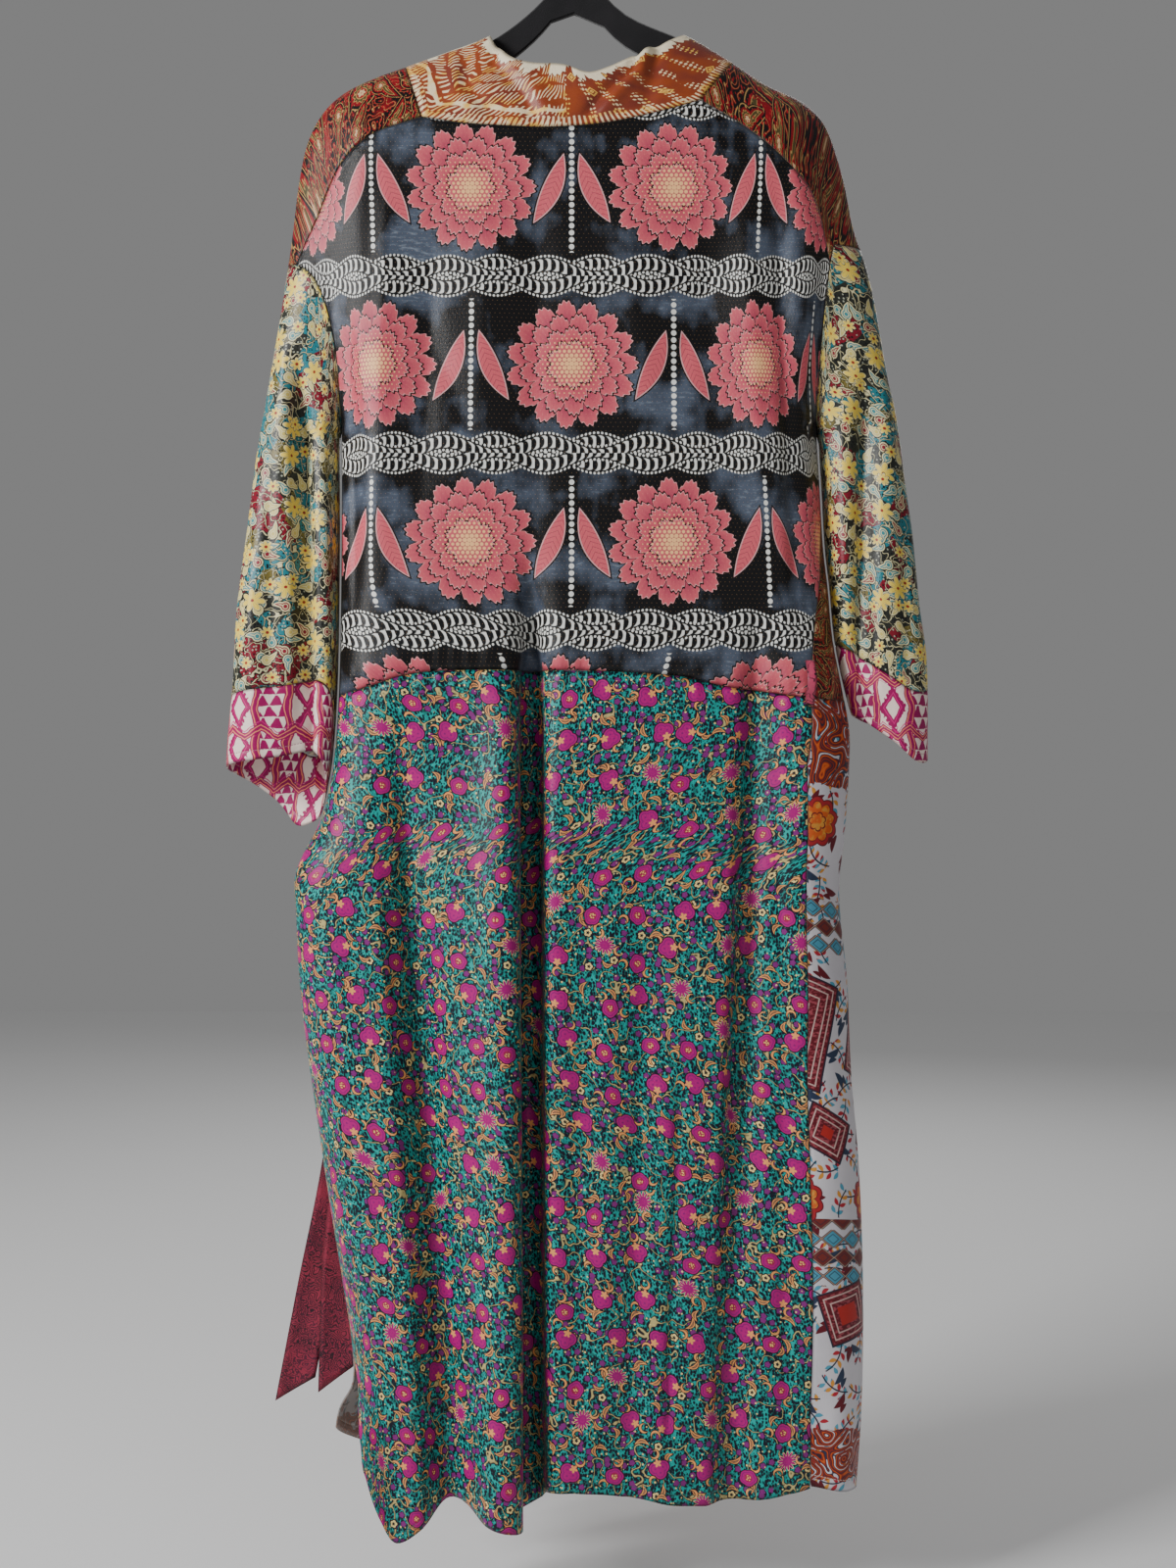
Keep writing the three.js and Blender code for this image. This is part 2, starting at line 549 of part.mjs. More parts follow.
/** Height of the front's hem, from the side seam to the front edge. */
function frontHem(side, t) {
  const { centre, side: outer, dip } = FRONT_HEM[side];
  return mix(centre, outer, t) + dip * Math.sin(Math.PI * t);
}
const bandSeamX = (side, z) => frontSeam(side).pop().x
  + OUTWARD[side] * SEAM_SPREAD * ease((FRONT_WAIST.centre - z) / SEAM_FALL);

function frontLower(side) {
  const waist = frontWaist(side);
  const steps = SHOULDER_STEPS[side];
  const cells = Array.from({ length: SKIRT_STEPS + 1 }, (_, i) => waist.map((start, k) => {
    const z = mix(start.z, frontHem(side, k / steps), i / SKIRT_STEPS);
    return facing(side, { x: frontColumn(side, k, z, bandSeamX(side, z)), z }, true);
  }));
  return wallGeometry(laid('body', cells));
}

/** A front band, from the shoulder line down both fronts, free edge towards the opening. */
function frontBand(side) {
  const seam = frontSeam(side);
  for (let i = 1; i <= SKIRT_STEPS; i += 1) {
    const z = mix(FRONT_WAIST.centre, FRONT_HEM[side].centre, i / SKIRT_STEPS);
    seam.push({ x: bandSeamX(side, z), z });
  }
  const top = ridge(side, COLLAR_IN[side], COLLAR_OUT[side], BAND_STEPS).reverse();
  const rows = seam.map((point, i) => {
    const wide = mix(Math.abs(COLLAR_OUT[side] - COLLAR_IN[side]), BAND_WIDTH, ease(i / BAND_SETTLE.width));
    const rise = mix(top[BAND_STEPS].z - top[0].z, 0, ease(i / BAND_SETTLE.slope));
    return top.map((_, k) => {
      const t = k / BAND_STEPS;
      if (i === 0) return { ...top[k], face: 0 };
      return { x: point.x - OUTWARD[side] * wide * t, z: point.z + rise * t, face: 1 };
    });
  });
  return wallGeometry(laid('body', rows));
}

function collar() {
  const seam = [
    ...collarEnd('left'), ...neck.slice(1, -1), ...collarEnd('right').reverse(),
  ];
  const free = spaced(chords(COLLAR_FREE, 60), seam.length - 1);
  const leftEnd = ridge('left', COLLAR_IN.left, COLLAR_OUT.left, BAND_STEPS).reverse();
  const rightEnd = ridge('right', COLLAR_IN.right, COLLAR_OUT.right, BAND_STEPS).reverse();
  const cells = seam.map((start, i) => Array.from({ length: BAND_STEPS + 1 }, (_, k) => {
    const t = k / BAND_STEPS;
    if (i === 0) return { ...leftEnd[k], face: 0 };
    if (i === seam.length - 1) return { ...rightEnd[k], face: 0 };
    return { x: mix(start.x, free[i].x, t), z: mix(start.z, free[i].z, t), face: -1 };
  }));
  return wallGeometry(laid('body', cells));
}

/** Rings of a sleeve or cuff between two levels, each given by how far round the arm it is. */
function tube(side, steps, upper, lower) {
  const turns = Array.from({ length: 2 * ARMHOLE_STEPS }, (_, k) => k / ARMHOLE_STEPS - 1);
  const cells = Array.from({ length: steps + 1 }, (_, i) => turns.map((turn) => {
    const z = mix(upper(turn), lower(turn), i / steps);
    const outer = read(outline[side], 'z', z, 'x');
    const { x, z: under } = ARMHOLE[side];
    const inwards = z > under - 1 ? x : read(sleeveEdge[side], 'z', z, 'x');
    const across = (1 - Math.cos(Math.PI * turn)) / 2;
    const closed = turn === -1;
    const relief = i === 0 ? UNDERARM_RELIEF * Math.abs(turn) ** 6 : 0;
    const face = closed ? 0 : -Math.sign(turn);
    return { x: mix(outer, inwards, across) + OUTWARD[side] * relief, z: z - relief, face };
  }));
  return wallGeometry(laid('sleeve', cells), { round: true });
}

const cuffHem = (side, turn) => {
  const rows = chords(CUFF_HEM[side].map((row) => ({ x: row.turn * 100, z: row.z })), 40);
  return read(rows, 'x', turn * 100, 'z');
};
const cuffSeam = (side, turn) => cuffHem(side, turn) + CUFF_DEPTH;
const sleeve = (side) => {
  const top = (turn) => armhole(side, turn).z;
  return tube(side, SLEEVE_STEPS, top, (turn) => cuffSeam(side, turn));
};
const cuff = (side) => {
  const low = (turn) => cuffHem(side, turn);
  return tube(side, CUFF_STEPS, (turn) => cuffSeam(side, turn), low);
};

// ---- Sash and belt loops ----
const BELT_PATH = [
  { x: -254, y: 63, z: -1334, half: 16 }, { x: -236, y: 63, z: -1240, half: 16 },
  { x: -214, y: 63, z: -1130, half: 16 }, { x: -196, y: 62, z: -980, half: 15 },
  { x: -188, y: 61, z: -820, half: 13 }, { x: -186, y: 60, z: -735, half: 10 },
  { x: -181, y: 58, z: -705, half: 8 }, { x: -170, y: 57.5, z: -694, half: 7 },
  { x: -159, y: 57.5, z: -705, half: 8 }, { x: -154, y: 57.8, z: -735, half: 10 },
  { x: -154, y: 58, z: -820, half: 13 }, { x: -172, y: 58, z: -980, half: 16 },
  { x: -200, y: 58, z: -1120, half: 17 }, { x: -211, y: 58, z: -1220, half: 18 },
  { x: -214, y: 58, z: -1322, half: 18 },
];
const BELT_STEPS = 44;
const BELT_SLANT = 14; // each end's corners lie this far along from its middle
const BELT_CROWN = 1.5; // the ribbon's middle stands this far off its edges

/** The sash: a ribbon up to its loop, through it and down again, with slanted ends. */
function belt() {
  const along = new THREE.CatmullRomCurve3(BELT_PATH.map((p) => new THREE.Vector3(p.x, p.y, p.z)));
  const width = new THREE.CatmullRomCurve3(BELT_PATH.map((p, i) => new THREE.Vector3(i, p.half, 0)));
  const grid = Array.from({ length: BELT_STEPS + 1 }, (_, i) => {
    const t = i / BELT_STEPS;
    const centre = along.getPoint(t);
    const run = along.getTangent(t).setY(0).normalize();
    const across = new THREE.Vector3(run.z, 0, -run.x);
    const slant = i === 0 || i === BELT_STEPS ? BELT_SLANT : 0;
    return [-1, -0.33, 0.33, 1].map((share) => ({
      point: centre.clone().addScaledVector(across, share * width.getPoint(t).y)
        .addScaledVector(run, share * slant).add(new THREE.Vector3(0, BELT_CROWN * (1 - share * share), 0)),
      normal: new THREE.Vector3(0, 1, 0),
    }));
  });
  return wallGeometry(grid, { thick: BELT_WALL });
}

const LOOPS = {
  left: { x: -170, face: 1, top: -671, low: -719 },
  right: { x: 204.5, face: -1, top: -674, low: -712 },
};

const LOOP_STEPS = 10;
const LOOP_ROUND = 0.7; // below 1 the arch is fuller than a half wave
const LOOP_LEAN = 0.7; // how far its wall leans at the sewn ends

/** A belt loop: a narrow strip sewn down at both ends that arches off the cloth. */
function beltLoop(side) {
  const { x, face, top, low } = LOOPS[side];
  const grid = Array.from({ length: LOOP_STEPS + 1 }, (_, i) => {
    const t = i / LOOP_STEPS;
    const z = mix(top, low, t);
    const rest = onCloth('body', { x, z, face });
    const stand = LOOP_CLEAR + LOOP_STAND * Math.sin(Math.PI * t) ** LOOP_ROUND;
    const tilt = Math.cos(Math.PI * t) * LOOP_LEAN;
    const lean = new THREE.Vector3(0, face, tilt).normalize();
    return [-0.5, 0.5].map((share) => ({
      point: rest.point.clone().add(new THREE.Vector3(share * LOOP_WIDTH, face * stand, 0)),
      normal: lean,
    }));
  });
  return wallGeometry(grid, { thick: WALL });
}

// ---- Hanger ----
const HANGER_TIP = { left: -208, right: 214 };
const HANGER_NECK = -62; // the arms' upper edges start below this level
const NECK_TOP = [[-2, -56], [8, -56]]; // the neck's top, which takes the hook
const ARCH_TOP = [2, -103]; // where the arms' lower edges meet
const ARCH_START = { left: -16, right: 20 }; // they leave the neck's round here
const ARM_DEPTH = HANGER_ARM + 5; // from an arm's upper edge straight down to its lower one
const BEVEL = 1.4;

/** The flocked hanger: two sloping arms from a neck, cut from one flat bevelled board. */
function hangerBody() {
  const arm = (side, start) => outline[side]
    .filter((p) => (p.x - HANGER_TIP[side]) * OUTWARD[side] < 0 && (p.x - start) * OUTWARD[side] > 0);
  const lowered = (points, by) => points.map(({ x, z }) => [x, z - HANGER_DROP - by]);
  const upper = (side) => lowered(arm(side, 3).filter((p) => p.z < HANGER_NECK), 0);
  const lower = (side) => lowered(arm(side, ARCH_START[side]), ARM_DEPTH).slice(0, -2);
  const tip = (side) => {
    const [x, z] = upper(side).pop();
    return [[x + OUTWARD[side] * 3, z - 8], [x, z - HANGER_ARM * 0.7]];
  };
  const path = [
    ...NECK_TOP, ...upper('right'), ...tip('right'), ...lower('right').reverse(),
    ARCH_TOP, ...lower('left'), ...tip('left').reverse(), ...upper('left').reverse(),
  ];
  const depth = HANGER_THICK - 2 * BEVEL;
  const board = new THREE.Shape(path.map(([x, z]) => new THREE.Vector2(x, z)));
  const geometry = new THREE.ExtrudeGeometry(board, {
    depth, bevelThickness: BEVEL, bevelSize: BEVEL, bevelOffset: -BEVEL, bevelSegments: 1,
  });
  geometry.rotateX(Math.PI / 2);
  geometry.translate(0, depth / 2, 0);
  return geometry;
}

const HOOK_ARC = { from: -35, to: 205, step: 20 }; // degrees round the hook's circle
const HOOK_STEM = [[-8, -40], [1.5, -47], [3, -55.6]]; // x and z, down to the hanger's neck

/** The wire hook: most of a circle, then a stem down into the hanger's neck. */
function hangerHook() {
  const rise = HOOK_WIRE / 2 - HOOK_RADIUS;
  const points = [];
  for (let degrees = HOOK_ARC.from; degrees <= HOOK_ARC.to; degrees += HOOK_ARC.step) {
    const angle = (degrees * Math.PI) / 180;
    points.push(new THREE.Vector3(Math.cos(angle) * HOOK_RADIUS, 0, rise + Math.sin(angle) * HOOK_RADIUS));
  }
  HOOK_STEM.forEach(([x, z]) => points.push(new THREE.Vector3(x, 0, z)));
  const circle = new THREE.Shape();
  circle.absarc(0, 0, HOOK_WIRE / 2, 0, Math.PI * 2);
  return new THREE.ExtrudeGeometry(circle, {
    extrudePath: new THREE.CatmullRomCurve3(points), steps: 44, curveSegments: 5,
  });
}

// ---- Assembly ----
const FINISH = {
  velvet: { color: 0x111113, roughness: 0.95, metalness: 0 },
  steel: { color: 0xb8b8bc, roughness: 0.3, metalness: 1 },
  blackPrint: { color: 0x3a3d4a, roughness: 0.45, metalness: 0 },
  teal: { color: 0x1f7f78, roughness: 0.5, metalness: 0 },
  paisley: { color: 0x7a2420, roughness: 0.5, metalness: 0 },
  whitePrint: { color: 0xd8cfc8, roughness: 0.55, metalness: 0 },
  gold: { color: 0xb5a45e, roughness: 0.4, metalness: 0 },
  magenta: { color: 0xa03070, roughness: 0.5, metalness: 0 },
  rust: { color: 0xb5653c, roughness: 0.5, metalness: 0 },
  rose: { color: 0x7a2840, roughness: 0.5, metalness: 0 },
  pink: { color: 0xc04a70, roughness: 0.5, metalness: 0 },
};

const robe = new THREE.Group();
function add(name, geometry, finish) {
  const mesh = new THREE.Mesh(geometry, new THREE.MeshStandardMaterial(FINISH[finish]));
  mesh.name = name;
  robe.add(mesh);
}

add('hanger_body', hangerBody(), 'velvet');
add('hanger_hook', hangerHook(), 'steel');
add('back_upper', backUpper(), 'blackPrint');
add('back_lower', backLower(), 'teal');
add('collar', collar(), 'rust');
SIDES.forEach((side) => {
  add(`front_upper_${side}`, frontUpper(side), 'paisley');
  add(`front_lower_${side}`, frontLower(side), 'whitePrint');
  add(`front_band_${side}`, frontBand(side), 'rust');
  add(`sleeve_${side}`, sleeve(side), 'gold');
  add(`cuff_${side}`, cuff(side), 'magenta');
  add(`belt_loop_${side}`, beltLoop(side), 'pink');
});
add('belt', belt(), 'rose');

export default robe;
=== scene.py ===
"""A patchwork silk kimono robe on a flocked hanger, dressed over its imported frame.

Lengths in the tables are millimetres; meshes are made in metres. The robe's back faces -Y.
"""
import math

import bpy
import numpy as np
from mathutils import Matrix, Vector


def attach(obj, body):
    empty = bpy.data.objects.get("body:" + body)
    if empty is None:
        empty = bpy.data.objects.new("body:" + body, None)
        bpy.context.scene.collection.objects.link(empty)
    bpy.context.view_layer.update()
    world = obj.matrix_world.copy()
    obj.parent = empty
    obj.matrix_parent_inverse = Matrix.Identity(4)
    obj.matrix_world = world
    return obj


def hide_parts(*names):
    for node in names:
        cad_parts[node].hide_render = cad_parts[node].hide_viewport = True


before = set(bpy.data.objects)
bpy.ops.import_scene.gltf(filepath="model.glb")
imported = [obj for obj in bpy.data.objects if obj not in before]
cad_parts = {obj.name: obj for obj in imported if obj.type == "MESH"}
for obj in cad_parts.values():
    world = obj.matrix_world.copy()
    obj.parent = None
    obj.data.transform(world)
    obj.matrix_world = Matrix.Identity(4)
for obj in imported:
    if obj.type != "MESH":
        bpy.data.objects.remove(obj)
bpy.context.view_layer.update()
MM = 0.001

# ---- The robe's own sizes, the same as its frame's ----
WALL = 1.2
SEAM_GAP = 0.3
BACK_DEPTH = 38
FRONT_DEPTH = 52
SLEEVE_DEPTH = 24
SHOULDER_ROUND = 110
ARM_ROUND = 30
SIDE_ROUND = 46
INNER_ROUND = 28
SLEEVE_BLEND = 45
NECK_X = 3  # the outline's two halves meet here
SHOULDER_Z = -170
SHOULDER_FALL = 170  # below SHOULDER_Z the round edge narrows to an arm's over this length
UNDERARM_Z = -468
NARROW_FALL = 120
SPLIT_FALL = 90
CUFF_DEPTH = 62
BAND_WIDTH = 58
BAND_DRIFT = 10
FRONT_GAP = 3
UNDERARM_RELIEF = 2
SIDES = ("left", "right")
INWARD = {"left": -1, "right": 1}

# Outlines as x and z, from the hanger's neck outwards and down
OUTLINE = {
    "left": [(3, -51), (-33, -94), (-72, -123), (-107, -137), (-146, -151), (-176, -162), (-202, -175),
             (-219, -191), (-232, -216), (-240, -254), (-245, -297), (-251, -340), (-264, -418),
             (-276, -487), (-285, -556), (-294, -625), (-298, -694), (-303, -754), (-305, -866)],
    "right": [(3, -51), (44, -97), (100, -123), (142, -148), (169, -166), (204, -183), (221, -200),
              (232, -228), (240, -258), (247, -293), (257, -323), (264, -351), (276, -418), (285, -461),
              (293, -521), (299, -564), (305, -625), (311, -668), (312, -754), (313, -866)],
}
# Grooves over the underarms as x, z and how far off the groove still stays
GROOVE = {
    "left": [(-212, -306, 44), (-208, -366, 22), (-204, -418, 8), (-202, -468, 0)],
    "right": [(219, -293, 44), (216, -366, 24), (214, -418, 8), (214, -468, 0)],
}
BODY_EDGE = {
    "left": [(-202, -468), (-202, -573), (-204, -694), (-208, -754), (-212, -780), (-217, -802),
             (-225, -822), (-236, -842), (-243, -862), (-242, -892), (-239, -952), (-231, -1021),
             (-221, -1090), (-212, -1150), (-202, -1211), (-193, -1275), (-193, -1308), (-204, -1328),
             (-208, -1350), (-208, -1400), (-206, -1450)],
    "right": [(214, -468), (217, -520), (220, -573), (224, -608), (228, -651), (236, -694),
              (243, -733), (243, -763), (239, -823), (234, -875), (241, -952), (245, -1039),
              (251, -1108), (255, -1211), (254, -1323), (249, -1401), (247, -1450)],
}
SLEEVE_EDGE = {
    "left": [(-205, -472), (-205, -573), (-207, -694), (-211, -754), (-215, -780), (-220, -802),
             (-229, -822), (-240, -842), (-247, -866)],
    "right": [(217, -472), (220, -520), (223, -573), (227, -608), (231, -651), (239.5, -694),
              (246, -718), (254, -740), (264, -866)],
}
# Side seams as z and how far in from the body's edge they lie, on the back
SEAM_INSET = {
    "left": [(-468, 0), (-1200, 0), (-1280, 2), (-1308, 8), (-1330, 22), (-1350, 28), (-1375, 31),
             (-1450, 31)],
    "right": [(-468, 0), (-540, 0), (-600, 8), (-651, 19), (-694, 31), (-763, 41), (-875, 32),
              (-950, 38), (-1120, 47), (-1320, 49), (-1400, 44), (-1450, 43)],
}
# Seams, hems and edges as x and z, from left to right
NECK_SEAM = [(-129, -206), (-95, -212), (-53, -215), (-20, -216), (31, -212), (81, -201), (111, -191)]
COLLAR_FREE = [(-72, -123), (-66, -138), (-52, -153), (-36, -158), (-7, -161), (14, -168), (31, -163),
               (56, -150), (80, -137), (94, -128), (100, -123)]
WAIST_SEAM = [(-204, -703), (-175, -696), (-137, -685), (-36, -682), (90, -687), (132, -696), (205, -706)]
BACK_HEM = [(-181, -1368), (-169, -1410), (-156, -1432), (-129, -1416), (-107, -1398), (-70, -1411),
            (-41, -1418), (-23, -1390), (48, -1391), (98, -1398), (157, -1396), (206, -1386)]
# Front hems as z at the centre, z at the side and how far they dip between
FRONT_HEM = {"left": (-1390, -1346, -14), "right": (-1398, -1384, -9)}
FRONT_WAIST = {"centre": -712, "left": -703, "right": -706}
# The top's z, how much of the turn stays level, how fast it drops after, and the underarm's x and z
ARMHOLE = {
    "left": {"top": -327, "level": 0.0, "power": 3.7, "x": -202, "z": UNDERARM_Z},
    "right": {"top": -313, "level": 0.6, "power": 1.6, "x": 214, "z": UNDERARM_Z},
}
# The cuff's open edge by turn, from the inner edge over the front (-1) to that over the back (1)
CUFF_HEM = {
    "left": [(-1, -806), (-0.85, -813), (-0.68, -817), (-0.45, -792), (-0.25, -776), (0, -766),
             (0.5, -757), (0.75, -752), (0.9, -771), (1, -806)],
    "right": [(-1, -718), (-0.5, -733), (0, -757), (0.3, -761), (0.57, -741), (0.8, -725),
              (1, -718)],
}
# Where the collar and the bands meet on the shoulder line, at their seam and at their free edge
COLLAR_OUT = {"left": -146, "right": 142}
COLLAR_IN = {"left": -72, "right": 100}
SHOULDER_SEAM = {
    "left": [(-171, -221), (-200, -246), (-222, -292)],
    "right": [(149, -214), (182, -242), (208, -272)],
}
# Folds as top x, top z, low x, low z, rise, half width, and the length over which they grow
BACK_FOLDS = [
    (-36, -560, -33, -1430, -15, 15, 120), (-62, -700, -58, -1430, 10, 26, 200),
    (-150, -700, -104, -1400, -9, 22, 300), (161, -640, 132, -1400, -8, 24, 150),
    (90, -760, 60, -1400, 5, 34, 400),
]
FRONT_FOLDS = [
    (-128, -480, -120, -1400, -8, 26, 250), (120, -430, 132, -1400, -10, 24, 250),
    (196, -640, 206, -1400, 5, 20, 200),
]
SLEEVE_FOLDS = [(-238, -400, -238, -770, -7, 13, 90), (262, -380, 262, -740, -6, 14, 90)]
# Finer creases as top x, top z, low x, low z, rise, half width to the left and to the right, and the
# lengths over which they grow and fade
BACK_CREASES = [
    (-36, -560, -34, -1440, -22, 6, 7, 190, 1), (-58, -620, -53, -1440, 13, 20, 10, 190, 1),
    (-16, -690, -13, -1440, 7, 9, 20, 220, 1), (-30, -240, -36, -700, -2.2, 12, 15, 90, 160),
    (-150, -690, -104, -1440, -9, 8, 15, 150, 1), (-174, -760, -128, -1440, 6.5, 17, 9, 200, 1),
    (-96, -720, -82, -1300, 4, 22, 18, 200, 250), (161, -590, 134, -1260, -8.5, 8, 16, 110, 260),
    (176, -660, 186, -1440, -4, 10, 13, 260, 1), (139, -700, 112, -1440, 6.5, 19, 10, 220, 1),
    (92, -1020, 80, -1400, -4, 3, 5, 60, 90), (34, -740, 26, -1440, 5.5, 26, 20, 260, 1),
    (66, -800, 48, -1440, -5, 11, 16, 240, 1), (8, -900, 4, -1440, -2.6, 9, 12, 300, 1),
    (-196, -300, -188, -680, -4, 8, 12, 100, 120), (-158, -240, -172, -660, 3, 12, 14, 90, 160),
    (-118, -260, -132, -600, -3, 14, 12, 120, 170), (-72, -240, -84, -620, 2.4, 20, 22, 120, 220),
    (176, -250, 196, -680, -5, 8, 12, 90, 90), (148, -240, 166, -620, 3.4, 14, 12, 90, 160),
    (112, -250, 128, -560, -2.8, 14, 17, 110, 180), (48, -240, 70, -560, 2.6, 22, 20, 120, 220),
    (-140, -330, -60, -560, -1.8, 12, 12, 90, 130), (130, -300, 60, -520, -1.8, 12, 12, 90, 130),
]
FRONT_CREASES = [
    (-120, -330, -132, -1440, -5, 9, 14, 180, 1), (-150, -420, -160, -1440, 4, 15, 12, 260, 1),
    (-88, -480, -96, -1440, 4, 16, 18, 260, 1), (126, -360, 138, -1440, -6, 14, 9, 180, 1),
    (94, -500, 96, -1440, 4, 16, 18, 260, 1), (170, -440, 176, -1440, 4, 14, 12, 240, 1),
    (-168, -700, -178, -1440, -4, 8, 12, 160, 1), (200, -700, 206, -1440, -4, 9, 8, 160, 1),
    (-32, -620, -26, -1440, -2.6, 9, 12, 250, 1), (34, -640, 30, -1440, 2.8, 14, 12, 250, 1),
    (-160, -240, -150, -520, 3, 16, 12, 100, 180), (162, -240, 154, -540, -3, 14, 12, 100, 180),
]
ARM_CREASES = [
    (-237, -380, -227, -800, -10, 5, 7, 110, 40), (-264, -470, -260, -740, -3.5, 7, 9, 90, 90),
    (256, -390, 249, -740, -8, 8, 5, 110, 30), (290, -470, 292, -720, -3.5, 9, 7, 90, 60),
]
ARM_BACK_CREASES = [
    (-216, -420, -213, -760, 4, 6, 8, 90, 60), (-250, -360, -244, -760, 4, 10, 6, 90, 60),
    (-280, -560, -274, -800, 2.4, 8, 7, 90, 30), (236, -400, 240, -700, 3, 8, 7, 90, 60),
    (272, -400, 268, -740, 3.4, 7, 9, 90, 60),
]

# Creases of the collar as x at its seam, lean over the band, rise and half width
COLLAR_CREASES = [(24, 0.7, -4, 5), (38, 0.6, 3.5, 8), (66, 0.2, -2.5, 7), (-40, -0.5, -3, 6),
                  (-26, -0.5, 2.5, 9), (-78, -0.6, -2.5, 6), (-92, -0.6, 2.2, 8)]

COLLAR_MIDDLE = 25
COLLAR_FADE = 16  # from the seam
COLLAR_END_ROWS = 14
# The waist seam's puckers, the roll above it and its own groove
PUCKER_RISE, PUCKER_REACH = 0.9, 16
ROLL_RISE, ROLL_ABOVE, ROLL_REACH = 1.6, 14, 12
GROOVE_SINK, GROOVE_REACH = 1.8, 6
KNEE_Z = -1230
WAVE_FALL = 170
# Rows of the frame over which a front band widens below the shoulder and turns level
WIDEN_ROWS = 9
LEVEL_ROWS = 8
SETTLED_ROWS = 99  # any count past both

# Steps along each seam of the frame, and how many finer steps the cloth takes for each
ARMHOLE_STEPS = 10
STRIP_STEPS = {"left": 3, "right": 7}
SHOULDER_STEPS = {"left": 9, "right": 12}
SIDE_STEPS = {"left": 7, "right": 11}
NECK_STEPS = 10
SKIRT_STEPS = 13
BAND_STEPS = 3
EDGE_COLUMN = {"left": 9, "right": 8}
SLEEVE_STEPS = 11
CUFF_STEPS = 3
FINE = 6
FINE_SKIRT = 10
COLUMN_KEEP = 4 / FINE  # least spacing of a panel's columns beside its side seams
TOUCH = 0.01  # places closer than this count as the same
WRONG_SIDE = 0.0001  # metres, keeps the wrong side's edge distances below 0
SLOPE_STEP = 0.4


# ---- Curves and tables ----
def mix(a, b, t):
    """A straight blend, a at 0 and b at 1."""
    return a + (b - a) * t


def ease(t):
    """From 0 to 1 with level ends: 3 t squared less 2 t cubed."""
    c = np.clip(t, 0, 1)
    return c * c * (3 - 2 * c)


def read(line, at, key=0, column=1):
    """One column of a table at a place in another column, straight between its rows."""
    rows = np.asarray(line, float)
    order = np.argsort(rows[:, key], kind="stable")
    return np.interp(at, rows[order, key], rows[order, column])


def chords(rows, count):
    """A centripetal Catmull-Rom curve through rows, as count chords.

    Between two rows it is the cubic whose end slopes come from the roots of the row distances.
    """
    p = np.asarray(rows, float)
    if p.shape[1] == 2:
        p = np.c_[p, np.zeros(len(p))]
    p = np.vstack([2 * p[0] - p[1], p, 2 * p[-1] - p[-2]])
    spot = np.linspace(0, len(rows) - 1, count + 1)
    i = np.minimum(spot.astype(int), len(rows) - 2)
    t = (spot - i)[:, None]
    a, b, c, d = p[i], p[i + 1], p[i + 2], p[i + 3]
    ab, bc, cd = (np.sqrt(np.linalg.norm(to - start, axis=1))[:, None]
                  for start, to in ((a, b), (b, c), (c, d)))
    start = ((b - a) / ab - (c - a) / (ab + bc) + (c - b) / bc) * bc
    end = ((c - b) / bc - (d - b) / (bc + cd) + (d - c) / cd) * bc
    return (b + start * t + (-3 * b + 3 * c - 2 * start - end) * t**2
            + (2 * b - 2 * c + start + end) * t**3)


def spaced(line, steps):
    """Evenly spaced points along chords, by their length."""
    line = np.asarray(line, float)[:, :2]
    far = np.r_[0, np.cumsum(np.linalg.norm(np.diff(line, axis=0), axis=1))]
    at = np.linspace(0, far[-1], steps + 1)
    return np.c_[np.interp(at, far, line[:, 0]), np.interp(at, far, line[:, 1])]


outline = {side: chords(OUTLINE[side], 90) for side in SIDES}
groove = {side: chords(GROOVE[side], 12) for side in SIDES}
body_edge = {side: chords(BODY_EDGE[side], 70) for side in SIDES}
sleeve_edge = {side: chords(SLEEVE_EDGE[side], 30) for side in SIDES}


# ---- The puffed form: how far the cloth stands off the hanger's plane ----
def nearest(line, x, z):
    """For each point, its distance to the chords, the nearest chord's side and its third column."""
    a, b = line[:-1], line[1:]
    run = (b - a)[:, :2]
    px, pz = x[:, None] - a[:, 0], z[:, None] - a[:, 1]
    t = np.clip((px * run[:, 0] + pz * run[:, 1]) / (run**2).sum(1), 0, 1)
    far = np.hypot(px - t * run[:, 0], pz - t * run[:, 1])
    across = run[:, 0] * pz - run[:, 1] * px
    return far, across, mix(a[:, 2], b[:, 2], t)


def reach(line, x, z, sign):
    """Distance to the edge, positive on its inner side."""
    far, across, _ = nearest(line, x, z)
    best = far.argmin(1)
    rows = np.arange(len(x))
    return np.where(sign * across[rows, best] < 0, -1, 1) * far[rows, best]


def slit(side, part, x, z):
    """Distance to the gap between body and sleeve, or to the groove above it."""
    far, _, keep = nearest(groove[side], x, z)
    over = (far + keep).min(1)
    inward = -INWARD[side] * (1 if part == "body" else -1)
    edge = body_edge[side] if part == "body" else sleeve_edge[side]
    return np.where(z < ARMHOLE[side]["z"] - 1, reach(edge, x, z, inward), over)


def rounding(s):
    """The square of a round edge's height: 1 less the square of what is left of its width."""
    return 1 - (1 - np.clip(s, -0.5, 1)) ** 2


def fold_sum(folds, x, z):
    """Each fold is a bell across its line, and grows from its top."""
    total = np.zeros_like(x)
    for top_x, top_z, low_x, low_z, rise, half, grow in folds:
        t = np.clip((top_z - z) / (top_z - low_z), 0, 1.1)
        total += rise * np.exp(-(((x - mix(top_x, low_x, t)) / half) ** 2)) * ease((top_z - z) / grow)
    return total


